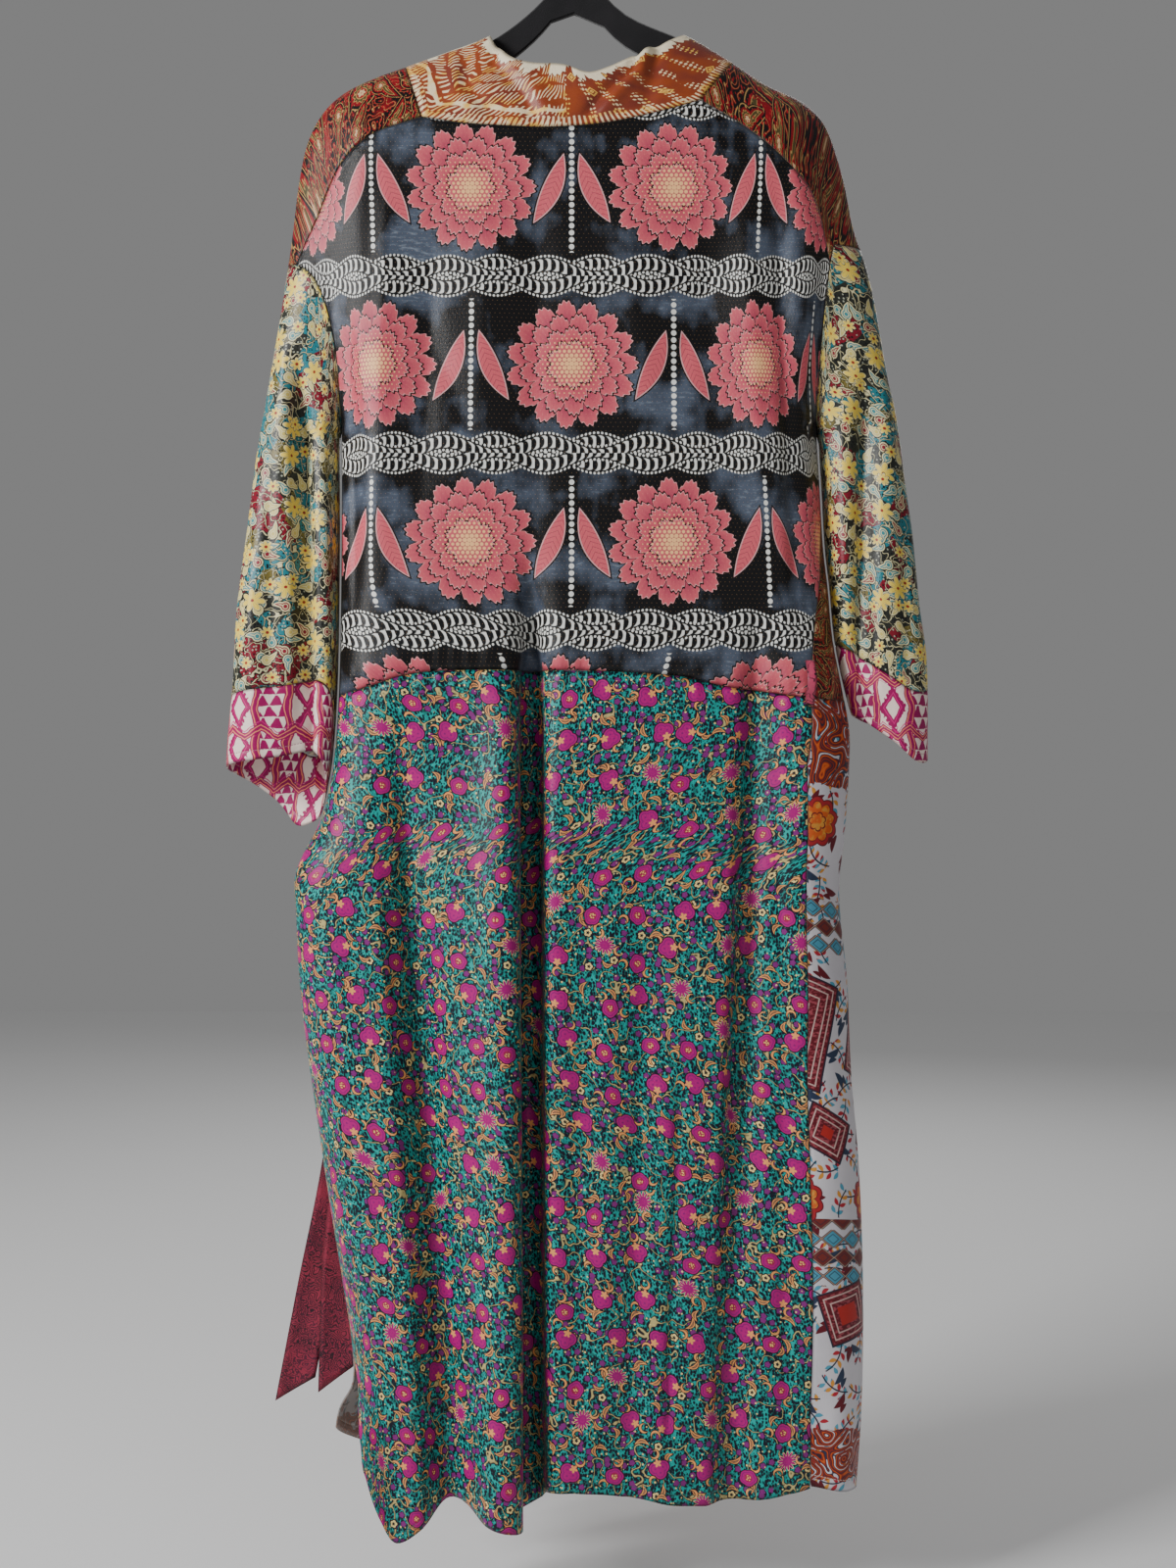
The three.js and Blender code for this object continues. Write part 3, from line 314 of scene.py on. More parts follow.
def rounded(part, x, z):
    """0 at an edge and 1 well inside it, and how far each place belongs to an arm."""
    whole = np.ones_like(x)
    armward = np.zeros_like(x)
    for side in SIDES:
        here = x < NECK_X if side == "left" else x > NECK_X
        if not here.any():
            continue
        hx, hz = x[here], z[here]
        round_ = mix(SHOULDER_ROUND, ARM_ROUND, ease((SHOULDER_Z - hz) / SHOULDER_FALL))
        narrow = ease((ARMHOLE[side]["z"] - hz) / NARROW_FALL) if part == "sleeve" else 0
        whole[here] = (rounding(reach(outline[side], hx, hz, -INWARD[side]) / round_)
                       * rounding(slit(side, part, hx, hz) / mix(SIDE_ROUND, INNER_ROUND, narrow)))
        armward[here] = ease((hx - ARMHOLE[side]["x"]) * INWARD[side] / SLEEVE_BLEND + 0.5)
    return whole, mix(armward, 1.0 if part == "sleeve" else 0.0, ease((UNDERARM_Z - z) / SPLIT_FALL))


def puff(part, face, x, z):
    """The square of the cloth's distance from the hanger's plane."""
    whole, share = rounded(part, x, z)
    body = np.where(face < 0, BACK_DEPTH + fold_sum(BACK_FOLDS, x, z),
                    FRONT_DEPTH + fold_sum(FRONT_FOLDS, x, z))
    arm = SLEEVE_DEPTH + fold_sum(SLEEVE_FOLDS, x, z)
    return mix(body, arm, share) ** 2 * whole


def crease_sum(creases, x, z):
    """Each crease has its own width on either side of its line, and fades in and out along it."""
    total = np.zeros_like(x)
    for top_x, top_z, low_x, low_z, rise, left, right, start, end in creases:
        t = np.clip((top_z - z) / (top_z - low_z), 0, 1)
        away = x - mix(top_x, low_x, ease(t) * 0.4 + t * 0.6)
        bell = np.exp(-np.abs(away / np.where(away < 0, left, right)) ** 1.6)
        total += rise * bell * ease((top_z - z) / start) * ease((z - low_z) / end)
    return total


def drape(part, face, x, z):
    """How far the finer creases, seam puckers and hem waves stand off the form.

    Puckers are a sine along the waist seam under a bell across it, with a soft roll above the seam
    and a groove in it. Hem waves are two sines that grow from knee height down to the hem.
    """
    back, front = crease_sum(BACK_CREASES, x, z), crease_sum(FRONT_CREASES, x, z)
    waist = z - read(chords(WAIST_SEAM, 40), x)
    pucker = np.sin(x * 0.36 + 2.6 * np.sin(x * 0.061)) * np.exp(-(waist / PUCKER_REACH) ** 2) * PUCKER_RISE
    pucker += ROLL_RISE * np.exp(-((waist - ROLL_ABOVE) / ROLL_REACH) ** 2)
    pucker -= GROOVE_SINK * np.exp(-(waist / GROOVE_REACH) ** 2)
    waves = np.sin(x * 0.075 + 1.3 + 1.2 * np.sin(x * 0.031)) * 2.6 + np.sin(x * 0.17) * 1.1
    waves *= ease((KNEE_Z - z) / WAVE_FALL)
    body = np.where(face < 0, back, front) + pucker + waves
    arm = crease_sum(ARM_CREASES, x, z) + crease_sum(ARM_BACK_CREASES, x, z) * np.where(face < 0, 1, -0.4)
    whole, share = rounded(part, x, z)
    return mix(body, arm, share) * ease(whole * 1.6) * np.abs(face)


def on_cloth(part, cells):
    """Points and outward directions of a grid of (x, z, face).

    A point lies the root of puff away from the hanger's plane, and its direction is the slope of
    y squared less puff.
    """
    shape = cells.shape[:-1]
    x, z, face = (cells[..., i].ravel() for i in range(3))
    towards = np.where(face == 0, 1, face)
    step = SLOPE_STEP
    y = face * np.sqrt(np.maximum(puff(part, towards, x, z), 0))
    slope_x = (puff(part, towards, x + step, z) - puff(part, towards, x - step, z)) / (2 * step)
    slope_z = (puff(part, towards, x, z + step) - puff(part, towards, x, z - step)) / (2 * step)
    normal = np.c_[-slope_x, 2 * y, -slope_z]
    for side in SIDES:
        under = ARMHOLE[side]
        normal[np.hypot(x - under["x"], z - under["z"]) < 1] = (INWARD[side], 0, -1.5)
    normal /= np.linalg.norm(normal, axis=1)[:, None]
    points = np.c_[x, y, z] + normal * drape(part, face, x, z)[:, None]
    return points.reshape(*shape, 3), normal.reshape(*shape, 3)


# ---- Seams that two pieces share ----
def edge_x(side, z):
    """The body's outer edge."""
    return read(body_edge[side], z, 1, 0)


def seam_x(side, z):
    """The side seam, as seen on the back."""
    return edge_x(side, z) - INWARD[side] * read(SEAM_INSET[side], z)


def armhole(side, turn):
    """The armhole seam: its turn is 0 on the shoulder and 1 at the underarm.

    z drops as a power of the turn past its level part, and x goes over as half a cosine wave.
    """
    hole = ARMHOLE[side]
    turn = np.asarray(turn, float)
    drop = (np.maximum(np.abs(turn) - hole["level"], 0) / (1 - hole["level"])) ** hole["power"]
    z = mix(hole["top"], hole["z"], drop)
    return np.stack([mix(read(outline[side], z, 1, 0), hole["x"], (1 - np.cos(np.pi * turn)) / 2), z], -1)


def armhole_steps(side, start, stop):
    """The armhole seam between two of the frame's steps."""
    return armhole(side, np.arange(start * FINE, stop * FINE + 1) / (ARMHOLE_STEPS * FINE))


def side_seam(side):
    """The side seam from below the underarm to the waist."""
    z = np.linspace(ARMHOLE[side]["z"], FRONT_WAIST[side], SIDE_STEPS[side] * FINE + 1)[1:]
    return np.c_[seam_x(side, z), z]


def level_on(side, x):
    """The point of the shoulder line at an x."""
    return np.array([x, read(outline[side], x)])


def ridge(side, start, stop, steps):
    """The shoulder line between two places along x."""
    line = outline[side][:, :2]
    low, high = min(start, stop), max(start, stop)
    inner = line[(line[:, 0] > low) & (line[:, 0] < high)]
    return spaced(np.vstack([level_on(side, start), inner, level_on(side, stop)]), steps)


def shoulder_seam(side):
    """The seam behind the shoulder, from the neck seam to the armhole."""
    start = NECK_SEAM[0] if side == "left" else NECK_SEAM[-1]
    end = tuple(armhole(side, STRIP_STEPS[side] / ARMHOLE_STEPS))
    return spaced(chords([start, *SHOULDER_SEAM[side], end], 40), SHOULDER_STEPS[side] * FINE)


def quarter(steps):
    """From 0 to 1, slowly at first: 1 - cos of a quarter turn."""
    return 1 - np.cos(np.pi / 2 * np.linspace(0, 1, steps + 1))


neck = spaced(chords(NECK_SEAM, 40), NECK_STEPS * FINE)


def collar_end(side):
    """The collar's seam from the shoulder line to the back's neck seam."""
    t = quarter(STRIP_STEPS[side] * FINE)[:, None]
    return mix(level_on(side, COLLAR_OUT[side]), neck[0] if side == "left" else neck[-1], t)


def front_seam(side):
    """The band's seam from the shoulder line to the waist, bowed outwards by half a sine wave."""
    t = quarter((ARMHOLE_STEPS + SIDE_STEPS[side]) * FINE)
    low = np.array([INWARD[side] * (BAND_WIDTH + FRONT_GAP) + 3, FRONT_WAIST["centre"]])
    line = mix(level_on(side, COLLAR_OUT[side]), low, t[:, None])
    line[:, 0] += np.sin(np.pi * t) * 12 * INWARD[side]
    return line


def edge_spread(t):
    """From 0 to 1, with columns closer together at both ends."""
    return 0.3 * t + 0.7 * (1 - np.cos(np.pi * t)) / 2


def front_column(side, k, z, inner_x):
    """x of one column of a front; past the body's edge it comes round on to the back."""
    edge = edge_x(side, z)
    at, after = EDGE_COLUMN[side] * FINE, max((SHOULDER_STEPS[side] - EDGE_COLUMN[side]) * FINE, 1)
    far = mix(inner_x, edge, np.sin(np.pi / 2 * np.minimum(k / at, 1)))
    past = 1 - np.cos(np.pi / 2 * np.clip((k - at) / after, 0, 1))
    return far + (edge - seam_x(side, z)) * past


def facing(side, x, z, low):
    """Cells of (x, z, face), where x past the body's edge turns on to the back."""
    edge = edge_x(side, z)
    beyond = (x - edge) * INWARD[side]
    over = low & (beyond > TOUCH)
    face = np.where(low & (np.abs(beyond) <= TOUCH), 0, np.where(over, -1, 1))
    return np.stack([np.where(over, 2 * edge - x, x), z, face], -1)


def patch(top, bottom, first, last):
    """A Coons patch: both pairs of sides blended, less the blend of the corners."""
    v = np.linspace(0, 1, len(first))[:, None, None]
    u = np.linspace(0, 1, len(top))[None, :, None]
    sides = mix(first[:, None], last[:, None], u)
    ends = mix(top[None], bottom[None], v)
    return sides + ends - mix(mix(top[0], top[-1], u), mix(bottom[0], bottom[-1], u), v)


def kept_inside(grid, low, high, keep):
    """Keeps a panel's inner columns clear of its side seams below the underarm."""
    last = grid.shape[1] - 1
    j = np.arange(last + 1)
    x, z = grid[..., 0], grid[..., 1]
    moved = np.clip(x, low(z) + keep * j, high(z) - keep * (last - j))
    moved[:, [0, -1]] = x[:, [0, -1]]
    return np.stack([moved, z], -1)


def with_face(grid, face):
    """A grid of (x, z) with the same face for all: -1 is the back, 1 the front, 0 the edge between."""
    return np.concatenate([grid, np.full((*grid.shape[:-1], 1), float(face))], -1)


# ---- Making cloth from the form ----
def cloth_object(name, grid, normal, uv, sewn, round_=False, thick=WALL):
    """One closed wall: the grid moved out and in by half its thickness, with a rim round its edges.

    The map "cut" holds the cloth's flat measure. The map "sewn" holds its edge distances, less than
    0 on the cloth's wrong side.
    """
    rows, columns = grid.shape[:2]
    layers = np.concatenate([(grid + normal * half).reshape(-1, 3) for half in (thick / 2, -thick / 2)])
    index = np.arange(rows * columns).reshape(rows, columns)
    if round_:
        index = np.c_[index, index[:, :1]]
    below = index + rows * columns
    quads = []

    def strip(a, b, c, d):
        """Quads from four grids of corners."""
        quads.append(np.stack([a.ravel(), b.ravel(), c.ravel(), d.ravel()], -1))

    strip(index[:-1, :-1], index[1:, :-1], index[1:, 1:], index[:-1, 1:])
    strip(below[:-1, :-1], below[:-1, 1:], below[1:, 1:], below[1:, :-1])
    faces = sum(len(q) for q in quads)
    strip(index[0, :-1], index[0, 1:], below[0, 1:], below[0, :-1])
    strip(index[-1, 1:], index[-1, :-1], below[-1, :-1], below[-1, 1:])
    if not round_:
        strip(index[1:, 0], index[:-1, 0], below[:-1, 0], below[1:, 0])
        strip(index[:-1, -1], index[1:, -1], below[1:, -1], below[:-1, -1])
    quads = np.concatenate(quads)
    corners = layers[quads]
    volume = np.einsum("ij,ij->", corners[:, 0], np.cross(corners[:, 1], corners[:, 2]))
    volume += np.einsum("ij,ij->", corners[:, 0], np.cross(corners[:, 2], corners[:, 3]))
    if volume < 0:
        quads = quads[:, ::-1]
    mesh = bpy.data.meshes.new(name)
    mesh.from_pydata((layers * MM).tolist(), [], quads.tolist())
    smooth = np.arange(len(quads)) < faces
    mesh.polygons.foreach_set("use_smooth", smooth)
    flat = uv.reshape(-1, 2)
    wide = np.concatenate([flat, flat]) * MM
    loop_vertex = np.empty(len(mesh.loops), int)
    mesh.loops.foreach_get("vertex_index", loop_vertex)
    values = wide[loop_vertex]
    if round_:
        # the last column's quads close the ring, so their far corners carry the ring's whole width
        span = (uv[:, -1, 0] + (uv[:, -1, 0] - uv[:, -2, 0])) * MM
        polygon = np.repeat(np.arange(len(quads)), 4)
        first = (loop_vertex % columns) == 0
        closing = np.zeros(len(quads), bool)
        closing[((quads % columns) == columns - 1).any(1) & ((quads % columns) == 0).any(1)] = True
        row = (loop_vertex % (rows * columns)) // columns
        values[first & closing[polygon], 0] = span[row[first & closing[polygon]]]
    layer = mesh.uv_layers.new(name="cut")
    layer.data.foreach_set("uv", values.ravel().astype(np.float32))
    flat = sewn.reshape(-1, 2) * MM
    flat = np.concatenate([flat, flat * (-1, 1) - (WRONG_SIDE, 0)])
    layer = mesh.uv_layers.new(name="sewn")
    layer.data.foreach_set("uv", flat[loop_vertex].ravel().astype(np.float32))
    mesh.update()
    piece = bpy.data.objects.new(name, mesh)
    bpy.context.scene.collection.objects.link(piece)
    return piece


def cut_lengths(grid, zero_column=0, zero_row=None):
    """The cloth's flat measure: u is the length along each row, from the zero column's x.

    v is the height or, with a zero row, the length down each column, or their mean on a band.
    """
    across = np.linalg.norm(np.diff(grid, axis=1), axis=2)
    u = np.concatenate([np.zeros((len(grid), 1)), np.cumsum(across, 1)], 1)
    if zero_column is not None:
        u += grid[:, [zero_column], 0] - u[:, [zero_column]]
    if zero_row is None:
        return np.stack([u, grid[..., 2]], -1)
    down = np.linalg.norm(np.diff(grid, axis=0), axis=2)
    v = -np.concatenate([np.zeros((1, grid.shape[1])), np.cumsum(down, 0)])
    if zero_column is None:
        return np.stack([u, v.mean(1, keepdims=True) + grid[0, 0, 2] + 0 * u], -1)
    return np.stack([u, v + grid[zero_row, :, 2] - v[zero_row]], -1)


def edge_distances(grid, round_=False):
    """How far each place lies from the nearest edge of its piece, and from the piece's lower edge."""
    down = np.linalg.norm(np.diff(grid, axis=0), axis=2)
    down = np.concatenate([np.zeros((1, grid.shape[1])), np.cumsum(down, 0)])
    below = down[-1] - down
    nearest_edge = np.minimum(down, below)
    if not round_:
        across = np.linalg.norm(np.diff(grid, axis=1), axis=2)
        across = np.concatenate([np.zeros((len(grid), 1)), np.cumsum(across, 1)], 1)
        nearest_edge = np.minimum(nearest_edge, np.minimum(across, across[:, -1:] - across))
    return np.stack([nearest_edge, below], -1)


def seam_inset(grid, normal, round_=False):
    """Pulls every edge back by half the seam gap, square to the edge and along the cloth."""
    moved = grid.copy()

    def pull(line, inner, direction):
        """The move of one edge: across both the edge and the cloth's direction, inwards."""
        edge = np.gradient(line, axis=0)
        side = np.cross(edge, direction)
        side /= np.maximum(np.linalg.norm(side, axis=1), 1e-9)[:, None]
        way = np.einsum("ij,ij->i", inner - line, side)
        return side * np.sign(way)[:, None] * SEAM_GAP / 2

    moved[0] += pull(grid[0], grid[1], normal[0])
    moved[-1] += pull(grid[-1], grid[-2], normal[-1])
    if not round_:
        moved[:, 0] += pull(grid[:, 0], grid[:, 1], normal[:, 0])
        moved[:, -1] += pull(grid[:, -1], grid[:, -2], normal[:, -1])
    return moved


def tailor(name, part, cells, round_=False, zero_column=0, zero_row=None, crease=None):
    """A piece of cloth laid on the form, with its creases raised along its outward direction."""
    grid, normal = on_cloth(part, cells)
    uv = cut_lengths(grid, zero_column, zero_row)
    grid = seam_inset(grid, normal, round_)
    if crease is not None:
        grid = grid + normal * crease(grid, cells, uv)[..., None]
    return cloth_object(name, grid, normal, uv, edge_distances(grid, round_), round_)


# ---- Cutting the pieces ----
def waist_row():
    """The back's waist seam from one side seam to the other."""
    columns = (SHOULDER_STEPS["left"] + NECK_STEPS + SHOULDER_STEPS["right"]) * FINE
    ends = [np.array([seam_x(side, FRONT_WAIST[side]), FRONT_WAIST[side]]) for side in SIDES]
    x = mix(ends[0][0], ends[1][0], edge_spread(np.linspace(0, 1, columns + 1)))
    row = np.c_[x, read(chords(WAIST_SEAM, 40), x)]
    row[0], row[-1] = ends
    return row


def back_upper_cells():
    """The upper back: a Coons patch between shoulders and neck, armholes, sides and waist."""
    top = np.vstack([shoulder_seam("left")[::-1], neck[1:], shoulder_seam("right")[1:]])
    left, right = (np.vstack([armhole_steps(s, STRIP_STEPS[s], ARMHOLE_STEPS), side_seam(s)]) for s in SIDES)
    inside = {s: (lambda z, s=s: np.where(z < ARMHOLE[s]["z"], seam_x(s, z), INWARD[s] * 1e6))
              for s in SIDES}
    grid = patch(top, waist_row(), left, right)
    cells = with_face(kept_inside(grid, inside["left"], inside["right"], COLUMN_KEEP), -1)
    under = {s: (ARMHOLE_STEPS - STRIP_STEPS[s]) * FINE for s in SIDES}
    cells[under["left"]:, 0, 2] = 0
    cells[under["right"], -1, 2] = 0
    return cells


def back_lower_cells():
    """The lower back: straight columns from the waist seam to the hem, between the side seams."""
    waist = waist_row()
    spread = edge_spread(np.linspace(0, 1, len(waist)))
    hem = read(chords(BACK_HEM, 60), mix(BACK_HEM[0][0], BACK_HEM[-1][0], spread))
    hem[0], hem[-1] = BACK_HEM[0][1], BACK_HEM[-1][1]
    z = mix(waist[:, 1], hem, np.linspace(0, 1, SKIRT_STEPS * FINE_SKIRT + 1)[:, None])
    x = mix(seam_x("left", z), seam_x("right", z), spread)
    face = np.full_like(x, -1)
    face[:, 0] = np.where(np.abs(x[:, 0] - edge_x("left", z[:, 0])) < TOUCH, 0, -1)
    return np.stack([x, z, face], -1)


def front_waist(side):
    """A front's waist seam, from its band to its side seam, which may lie on the back."""
    start = front_seam(side)[-1]
    steps = SHOULDER_STEPS[side] * FINE
    z = mix(start[1], FRONT_WAIST[side], np.linspace(0, 1, steps + 1))
    return np.c_[front_column(side, np.arange(steps + 1), z, start[0]), z]


def front_upper_cells(side):
    """An upper front: a patch from its waist up to the shoulder line, and a strip behind that."""
    strip = STRIP_STEPS[side]
    over = ridge(side, COLLAR_OUT[side], armhole(side, 0)[0], SHOULDER_STEPS[side] * FINE)
    over[-1] = armhole(side, 0)
    near = with_face(patch(shoulder_seam(side), over, collar_end(side)[::-1],
                           armhole_steps(side, 0, strip)[::-1]), -1)
    near[-1, :, 2] = 0
    below = side_seam(side)
    below[:, 0] = 2 * edge_x(side, below[:, 1]) - seam_x(side, below[:, 1])
    outer = np.vstack([armhole_steps(side, 0, ARMHOLE_STEPS), below])
    grid = patch(over, front_waist(side), front_seam(side), outer)
    last = grid.shape[1] - 1
    z = grid[..., 1]
    past = INWARD[side] * (2 * edge_x(side, z) - seam_x(side, z))
    limit = np.where(z < ARMHOLE[side]["z"], past - COLUMN_KEEP * (last - np.arange(last + 1)), np.inf)
    x = INWARD[side] * np.minimum(grid[..., 0] * INWARD[side], limit)
    x[:, [0, -1]] = grid[:, [0, -1], 0]
    low = (np.arange(len(grid))[:, None] >= ARMHOLE_STEPS * FINE) & (z < ARMHOLE[side]["z"] + 0.5)
    return np.concatenate([near, facing(side, x, z, low)[1:]])


def band_seam_x(side, z):
    """The band's seam below the waist, easing outwards down to the hem."""
    return front_seam(side)[-1, 0] + INWARD[side] * BAND_DRIFT * ease((FRONT_WAIST["centre"] - z) / 700)


def front_lower_cells(side):
    """A lower front: columns from its waist seam to a hem that dips by half a sine wave."""
    waist = front_waist(side)
    t = np.linspace(0, 1, len(waist))
    centre, outer, dip = FRONT_HEM[side]
    hem = mix(centre, outer, t) + dip * np.sin(np.pi * t)
    z = mix(waist[:, 1], hem, np.linspace(0, 1, SKIRT_STEPS * FINE_SKIRT + 1)[:, None])
    x = front_column(side, np.arange(len(waist)), z, band_seam_x(side, z))
    return facing(side, x, z, z < 0)


def front_band_cells(side):
    """A front band: straight rows from its seam inwards, which turn level below the shoulder."""
    z = np.linspace(FRONT_WAIST["centre"], FRONT_HEM[side][0], SKIRT_STEPS * FINE_SKIRT + 1)[1:]
    seam = np.vstack([front_seam(side), np.c_[band_seam_x(side, z), z]])
    top = ridge(side, COLLAR_IN[side], COLLAR_OUT[side], BAND_STEPS * FINE)[::-1]
    i = np.r_[np.arange(len(front_seam(side))) / FINE, SETTLED_ROWS + np.arange(len(z))][:, None]
    t = np.linspace(0, 1, BAND_STEPS * FINE + 1)
    wide = mix(abs(COLLAR_OUT[side] - COLLAR_IN[side]), BAND_WIDTH, ease(i / WIDEN_ROWS))
    rise = mix(top[-1, 1] - top[0, 1], 0, ease(i / LEVEL_ROWS))
    cells = np.stack([seam[:, :1] - INWARD[side] * wide * t, seam[:, 1:] + rise * t], -1)
    cells[0] = top
    cells = with_face(cells, 1)
    cells[0, :, 2] = 0
    return cells


def collar_cells():
    """The collar: straight rows from its neck seam to its free edge."""
    seam = np.vstack([collar_end("left"), neck[1:-1], collar_end("right")[::-1]])
    free = spaced(chords(COLLAR_FREE, 60), len(seam) - 1)
    t = np.linspace(0, 1, BAND_STEPS * FINE + 1)[None, :, None]
    cells = mix(seam[:, None], free[:, None], t)
    for row, side in ((0, "left"), (-1, "right")):
        cells[row] = ridge(side, COLLAR_IN[side], COLLAR_OUT[side], BAND_STEPS * FINE)[::-1]
    cells = with_face(cells, -1)
    cells[[0, -1], :, 2] = 0
    return cells


def collar_creases(grid, cells, uv):
    """Slanting creases where the collar bends round the neck, fading at its seam."""
    across = uv[..., 0]
    total = 0
    for x, lean, rise, half in COLLAR_CREASES:
        total = total + rise * np.exp(-(((grid[..., 0] - x - lean * (across - COLLAR_MIDDLE)) / half) ** 2))
    ends = np.minimum(np.arange(len(grid)), np.arange(len(grid))[::-1])[:, None]
    return total * ease(across / COLLAR_FADE) * ease(ends / COLLAR_END_ROWS) * np.abs(cells[..., 2])


def cuff_hem(side, turn):
    """z of the cuff's open edge, a smooth curve through its table."""
    rows = chords([(t * 100, z) for t, z in CUFF_HEM[side]], 40)
    return read(rows, np.asarray(turn) * 100)


def tube_cells(side, steps, upper, lower):
    """Rings round the arm, each point given by its turn from -1 through the outer edge at 0."""
    turn = np.arange(-ARMHOLE_STEPS * FINE, ARMHOLE_STEPS * FINE) / (ARMHOLE_STEPS * FINE)
    v = np.linspace(0, 1, steps * FINE + 1)[:, None]
    z = mix(upper(turn), lower(turn), v)
    outer = read(outline[side], z, 1, 0)
    under = ARMHOLE[side]
    inwards = np.where(z > under["z"] - 1, under["x"], read(sleeve_edge[side], z, 1, 0))
    x = mix(outer, inwards, (1 - np.cos(np.pi * turn)) / 2)
    relief = np.where(v == 0, UNDERARM_RELIEF * np.abs(turn) ** 6, 0)
    face = np.broadcast_to(np.where(turn == -1, 0, -np.sign(turn)), x.shape)
    return np.stack([x + INWARD[side] * relief, z - relief, face], -1)


def sleeve_cells(side):
    """A sleeve, from its armhole to its cuff."""
    return tube_cells(side, SLEEVE_STEPS, lambda t: armhole(side, t)[:, 1],
                      lambda t: cuff_hem(side, t) + CUFF_DEPTH)


def cuff_cells(side):
    """A cuff band, below its sleeve."""
    return tube_cells(side, CUFF_STEPS, lambda t: cuff_hem(side, t) + CUFF_DEPTH,
                      lambda t: cuff_hem(side, t))


# ---- Sash and belt loops ----
# The sash's middle line as x, y and z, and its half width at each of those places
BELT_PATH = [(-254, 63, -1334), (-236, 63, -1240), (-214, 63, -1130), (-196, 62, -980), (-188, 61, -820),
             (-186, 60, -735), (-181, 58, -705), (-170, 57.5, -694), (-159, 57.5, -705), (-154, 57.8, -735),
             (-154, 58, -820), (-172, 58, -980), (-200, 58, -1120), (-211, 58, -1220), (-214, 58, -1322)]
BELT_HALF = [16, 16, 16, 15, 13, 10, 8, 7, 8, 10, 13, 16, 17, 18, 18]
BELT_STEPS = 176
BELT_COLUMNS = 9
BELT_SLANT = 14
SLANT_FADE = 6  # steps
BELT_CROWN = 1.5
BELT_WALL = 1.5
# Belt loops as x, face, top z and low z
LOOPS = {"left": (-170, 1, -671, -719), "right": (204.5, -1, -674, -712)}
LOOP_WIDTH = 8
LOOP_CLEAR = 3  # from the cloth's middle to the middle of a loop's sewn end
LOOP_STAND = 12
LOOP_STEPS = 40
LOOP_COLUMNS = 5
LOOP_ROUND = 0.7  # below 1 the arch is fuller than a half wave
LOOP_LEAN = 0.7  # how far its wall leans at the sewn ends


def belt():
    """The sash: a ribbon up to its loop, through it and down again, with slanted ends."""
    centre = chords(BELT_PATH, BELT_STEPS)
    half = chords([(i, h) for i, h in enumerate(BELT_HALF)], BELT_STEPS)[:, 1]
    run = np.gradient(centre, axis=0)
    run[:, 1] = 0
    run /= np.linalg.norm(run, axis=1)[:, None]
    across = np.stack([run[:, 2], 0 * half, -run[:, 0]], -1)
    share = np.linspace(-1, 1, BELT_COLUMNS)[None, :, None]
    far = np.arange(BELT_STEPS + 1)
    slant = BELT_SLANT * (np.exp(-far / SLANT_FADE) + np.exp((far - BELT_STEPS) / SLANT_FADE))
    slant = slant[:, None, None]
    grid = centre[:, None] + across[:, None] * share * half[:, None, None] + run[:, None] * share * slant
    grid[..., 1] += BELT_CROWN * (1 - share[..., 0] ** 2)
    normal = np.broadcast_to([0.0, 1.0, 0.0], grid.shape)
    length = np.r_[0, np.cumsum(np.linalg.norm(np.diff(centre, axis=0), axis=1))][:, None]
    uv = np.stack([share[..., 0] * half[:, None], length + slant[..., 0] * share[..., 0]], -1)
    return cloth_object("sash", grid, normal, uv, edge_distances(grid), thick=BELT_WALL)


def belt_loop(side):
    """A narrow strip sewn down at both ends that arches off the cloth."""
    x, face, top, low = LOOPS[side]
    t = np.linspace(0, 1, LOOP_STEPS + 1)
    z = mix(top, low, t)
    rest, _ = on_cloth("body", np.stack([np.full_like(z, x), z, np.full_like(z, face)], -1))
    stand = LOOP_CLEAR + LOOP_STAND * np.sin(np.pi * t) ** LOOP_ROUND
    lean = np.stack([0 * t, np.full_like(t, face), np.cos(np.pi * t) * LOOP_LEAN], -1)
    lean /= np.linalg.norm(lean, axis=1)[:, None]
    share = np.linspace(-0.5, 0.5, LOOP_COLUMNS)[None, :]
    grid = np.repeat(rest[:, None], LOOP_COLUMNS, axis=1)
    grid[..., 0] += share * LOOP_WIDTH
    grid[..., 1] += face * stand[:, None]
    uv = np.stack([share * LOOP_WIDTH + 0 * z[:, None], z[:, None] + 0 * share], -1)
    lean = np.repeat(lean[:, None], LOOP_COLUMNS, axis=1)
    return cloth_object(f"loop_{side}", grid, lean, uv, edge_distances(grid))


# ---- Every piece, with the node it stands for and its cut ----
middle = (SHOULDER_STEPS["left"] + NECK_STEPS // 2) * FINE
around = ARMHOLE_STEPS * FINE
along = {"zero_column": None, "zero_row": 0}
pieces = {
    "back_upper": tailor("back_top", "body", back_upper_cells(), zero_column=middle),
    "back_lower": tailor("back_skirt", "body", back_lower_cells(), zero_column=middle),
    "collar": tailor("neck_band", "body", collar_cells(), crease=collar_creases, **along),
    "belt": belt(),
}
for side in SIDES:
    over = STRIP_STEPS[side] * FINE
    pieces |= {
        f"front_upper_{side}": tailor(f"front_top_{side}", "body", front_upper_cells(side), zero_row=over),
        f"front_lower_{side}": tailor(f"front_skirt_{side}", "body", front_lower_cells(side)),
        f"front_band_{side}": tailor(f"band_{side}", "body", front_band_cells(side), **along),
        f"sleeve_{side}": tailor(f"arm_{side}", "sleeve", sleeve_cells(side), True, around),
        f"cuff_{side}": tailor(f"cuff_band_{side}", "sleeve", cuff_cells(side), True, around),
        f"belt_loop_{side}": belt_loop(side),
    }


